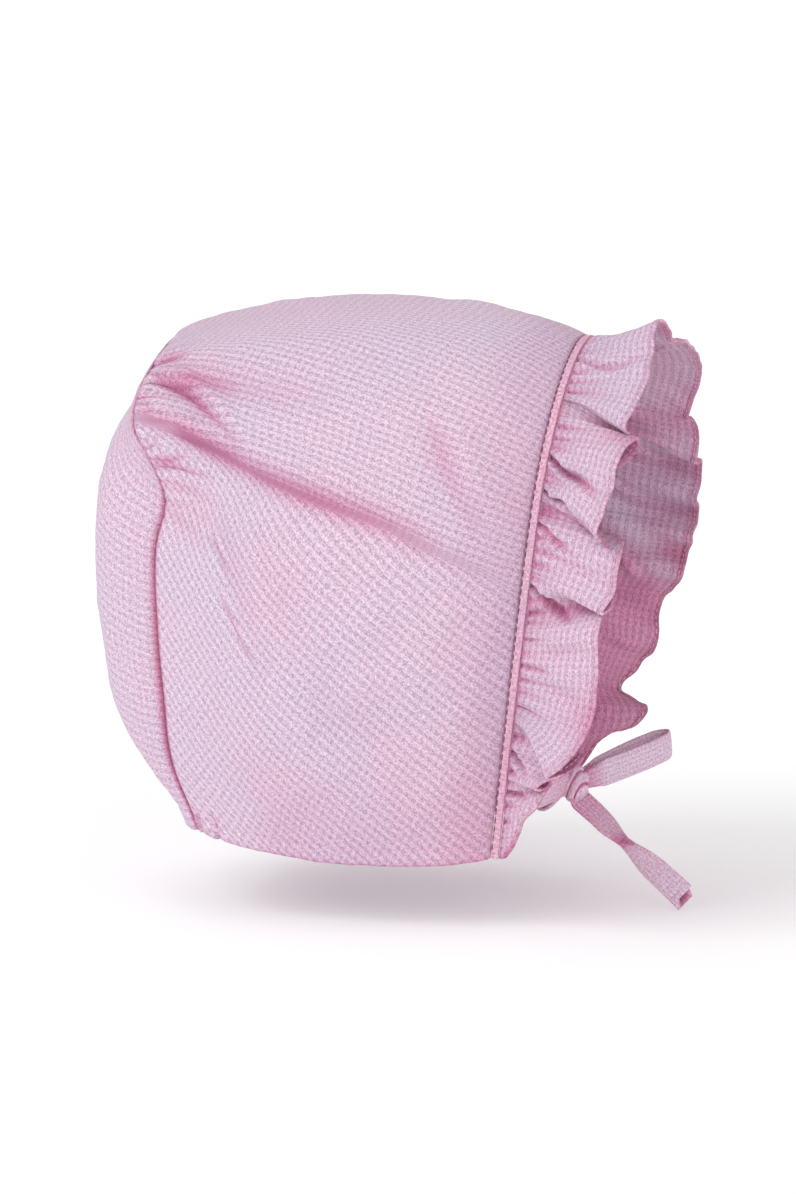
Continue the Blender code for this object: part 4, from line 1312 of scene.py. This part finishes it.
def build_knot():
    """The knot: three turns of tie wound round each other, as bands with grooves between them."""
    lat = np.linspace(0.02, np.pi - 0.02, KNOT_GRID[0])
    lon = np.linspace(0, 2 * np.pi, KNOT_GRID[1], endpoint=False)
    a, b = np.meshgrid(lat, lon, indexing="ij")
    ball = np.stack([np.sin(a) * np.cos(b), np.sin(a) * np.sin(b), np.cos(a)], axis=-1)
    tilt = unit(np.array((0.15, 0.75, 0.55)))
    level = ball @ tilt + 0.10 * np.sin(3 * b)
    band = np.abs(np.sin(level * np.pi * 1.6 + 0.4))
    grow = 0.90 + 0.16 * band**0.5
    sections = ball * (np.array(KNOT_SIZE) / 2) * grow[..., None] + knot_place()
    # Painted shade in the grooves between the wound bands, and a little over the whole knot
    fold = np.clip(1.7 - band * 3.4, 0, 1.7) + 0.25
    uv = np.stack([b * 0.005, level * 0.006], axis=-1)
    piece = swept("knot_turns", sections, finish_of("tie"), uv, {"fold": fold.ravel()})
    return dressed(piece, "pink_tie", "bow_knot")


# Stage

# The view: what it looks at, how far the picture's middle lies right of and above that, its turn, rise and
# distance, and the photograph's height in pixels and scale
TARGET = Vector((0.0, -0.010, -0.085))
PICTURE_SHIFT = (0.0046, -0.0053)
TURN = math.radians(-78)
RISE = math.radians(10)
DISTANCE = 1.6
PHOTO_HEIGHT = 1194
METRES_PER_PIXEL = 0.0003
SENSOR = 36
FLOOR_GAP = 0.0003
FLOOR_RADIUS = 5.0
WHITE = (1.0, 1.0, 1.0, 1.0)

# Lamps: where from, as shares of the view's back, right and up directions, width in degrees and power
LAMPS = (
    ("key", (0.9, -1.0, 0.85), 40, 1.15),
    ("fill", (1.3, 0.8, 0.3), 60, 0.50),
)
WORLD_POWER = 0.66


def build_floor():
    bm = bmesh.new()
    bmesh.ops.create_circle(bm, cap_ends=True, segments=96, radius=FLOOR_RADIUS)
    mesh = bpy.data.meshes.new("floor")
    bm.to_mesh(mesh)
    bm.free()
    floor = bpy.data.objects.new("floor", mesh)
    floor.location = (0, 0, min(CAD_BOX[0].z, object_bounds()[0].z) - FLOOR_GAP)
    bpy.context.scene.collection.objects.link(floor)
    shader = Shader("pale_floor")
    at = shader.add("ShaderNodeTexCoord").outputs["Object"]
    shader.set({
        "Base Color": shader.mix(shader.noise(at, 3.0), opaque((0.95, 0.95, 0.95)), opaque((0.97, 0.97, 0.97))),
        "Roughness": 0.9,
        "Emission Color": WHITE,
        "Emission Strength": 0.17,
    })
    floor.data.materials.append(shader.material)
    floor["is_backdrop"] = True


def aimed(name, data, where, way):
    """A camera or lamp at this point, looking this way."""
    made = bpy.data.objects.new(name, data)
    made.location = where
    made.rotation_mode = "QUATERNION"
    made.rotation_quaternion = way.to_track_quat("-Z", "Y")
    bpy.context.scene.collection.objects.link(made)
    return made


def build_stage():
    """Floor, lights and the camera at the photograph's angle."""
    scene = bpy.context.scene
    back = Vector((math.sin(TURN) * math.cos(RISE), -math.cos(TURN) * math.cos(RISE), math.sin(RISE)))
    right = Vector((math.cos(TURN), math.sin(TURN), 0.0))
    up = Vector((-math.sin(TURN) * math.sin(RISE), math.cos(TURN) * math.sin(RISE), math.cos(RISE)))
    build_floor()
    centre = TARGET + right * PICTURE_SHIFT[0] + up * PICTURE_SHIFT[1]
    camera = bpy.data.cameras.new("camera")
    camera.lens = SENSOR * DISTANCE / (PHOTO_HEIGHT * METRES_PER_PIXEL)
    camera.sensor_width = SENSOR
    scene.camera = aimed("camera", camera, centre + back * DISTANCE, -back)
    for name, shares, width, power in LAMPS:
        where = back * shares[0] + right * shares[1] + up * shares[2]
        lamp = bpy.data.lights.new(name, "SUN")
        lamp.angle = math.radians(width)
        lamp.energy = power
        aimed(name, lamp, TARGET + where, -where)
    world = bpy.data.worlds.new("studio")
    world.use_nodes = True
    background = world.node_tree.nodes["Background"]
    background.inputs["Color"].default_value = WHITE
    background.inputs["Strength"].default_value = WORLD_POWER
    scene.world = world
    scene.view_settings.view_transform = "Standard"


# The add-on


def length_property(name, words, default):
    kind = {"min": 0.0, "subtype": "DISTANCE", "unit": "LENGTH"}
    return FloatProperty(name=name, description=words, default=default, **kind)


def colour_property(name, words, default):
    kind = {"min": 0.0, "max": 1.0, "size": 3, "subtype": "COLOR"}
    return FloatVectorProperty(name=name, description=words, default=default, **kind)


class BonnetSizes(bpy.types.PropertyGroup):
    check: length_property("Check repeat", "Repeat of the woven check, both ways", 0.0026)
    hem: length_property("Frill hem", "Width of the turned hem at the frill's free edge", 0.0016)
    gather_depth: length_property("Gather depth", "How far the small gathers stand out at the root", 0.0007)
    gather_spacing: length_property("Gather spacing", "From one small gather to the next", 0.0042)
    stitch_pitch: length_property("Stitch pitch", "From one stitch of the face edge to the next", 0.0028)
    stitch_length: length_property("Stitch length", "Length of thread that shows in each stitch", 0.0025)
    thread: length_property("Thread thickness", "Thickness of the sewing thread", 0.00038)


class BonnetColours(bpy.types.PropertyGroup):
    pale: colour_property("Pale check", "The white yarns of the check", (0.93, 0.79, 0.905))
    pink: colour_property("Pink check", "The checks where pink yarns cross", (0.49, 0.345, 0.455))
    # Tints of painted shade, laid on by the fold attribute
    deep: colour_property("Fold tint", "What the colour is multiplied by deep in a fold", (0.85, 0.46, 0.59))
    deepest: colour_property("Deepest fold tint", "And by in turn in the deepest folds", (0.52, 0.26, 0.36))
    binding: colour_property("Face strip", "The pink yarns of the face strip", (0.62, 0.30, 0.42))
    binding_pale: colour_property("Face strip, pale", "The pale yarns of that strip", (0.96, 0.68, 0.80))
    tie_pale: colour_property("Ties, pale", "The pale yarns of the ties", (0.99, 0.85, 0.95))
    tie_pink: colour_property("Ties, pink", "The pink yarns of the ties", (0.58, 0.42, 0.53))
    dark_thread: colour_property("Dark thread", "Thread of the face edge's topstitching", (0.16, 0.05, 0.08))
    pink_thread: colour_property("Pink thread", "Thread of the hems", (0.82, 0.62, 0.72))


def piece_operator(key, label, words, build):
    """An operator that makes one piece or group of like pieces."""

    def execute(self, context):
        build()
        return {"FINISHED"}

    return type(
        f"BONNET_OT_{key}",
        (bpy.types.Operator,),
        {"__doc__": words, "bl_idname": f"bonnet.{key}", "bl_label": label, "execute": execute},
    )


def build_ties():
    build_tie("right_tie_strap", "right_tie", -1)
    build_tie("left_tie_strap", "left_tie", 1)


def build_loops():
    build_loop("left_loop_strap", "left_loop", LEFT_LOOP_WAY, UPWARD, LOOP_LENGTH, LOOP_OPENING)
    small = (SMALL_LOOP_LENGTH, SMALL_LOOP_OPENING)
    build_loop("right_loop_strap", "right_loop", RIGHT_LOOP_WAY, SIDEWAYS, *small)


def build_tails():
    build_tail("long_tail_strap", "long_tail", LONG_TAIL, LONG_TAIL_WAY, LONG_TAIL_LENGTH, twist=0.42)
    build_tail("short_tail_strap", "short_tail", SHORT_TAIL, SHORT_TAIL_WAY, SHORT_TAIL_LENGTH)


OPERATORS = (
    piece_operator("crown", "Crown", "Make the crown's gathered cloth", build_crown),
    piece_operator("back", "Back panel", "Make the horseshoe back panel", build_back),
    piece_operator("binding", "Face strip", "Make the stitched strip along the face edge", build_binding),
    piece_operator("frill", "Frill", "Make the gathered frill and its hem", build_frill),
    piece_operator("ties", "Ties", "Make the ties from the corners to the bow", build_ties),
    piece_operator("knot", "Knot", "Make the wound knot", build_knot),
    piece_operator("loops", "Loops", "Make the loops of the bow", build_loops),
    piece_operator("tails", "Tails", "Make the tie ends", build_tails),
    piece_operator("stage", "Stage", "Make the floor, the lights and the camera", build_stage),
)


class BONNET_PT_panel(bpy.types.Panel):
    """Lists the bonnet's sizes, colours and pieces."""

    bl_idname = "BONNET_PT_panel"
    bl_label = "Baby bonnet"
    bl_space_type = "VIEW_3D"
    bl_region_type = "UI"
    bl_category = "Bonnet"

    def draw(self, context):
        for group in (context.scene.bonnet_sizes, context.scene.bonnet_colours):
            box = self.layout.box()
            for key in group.__annotations__:
                box.prop(group, key)
        for operator in OPERATORS:
            self.layout.operator(operator.bl_idname)


CLASSES = (BonnetSizes, BonnetColours, *OPERATORS, BONNET_PT_panel)


def register():
    for made in CLASSES:
        bpy.utils.register_class(made)
    bpy.types.Scene.bonnet_sizes = PointerProperty(type=BonnetSizes)
    bpy.types.Scene.bonnet_colours = PointerProperty(type=BonnetColours)


def unregister():
    del bpy.types.Scene.bonnet_colours
    del bpy.types.Scene.bonnet_sizes
    for made in reversed(CLASSES):
        bpy.utils.unregister_class(made)


def main():
    register()
    for operator in OPERATORS:
        getattr(bpy.ops.bonnet, operator.bl_idname.split(".")[1])()


if __name__ == "__main__":
    main()
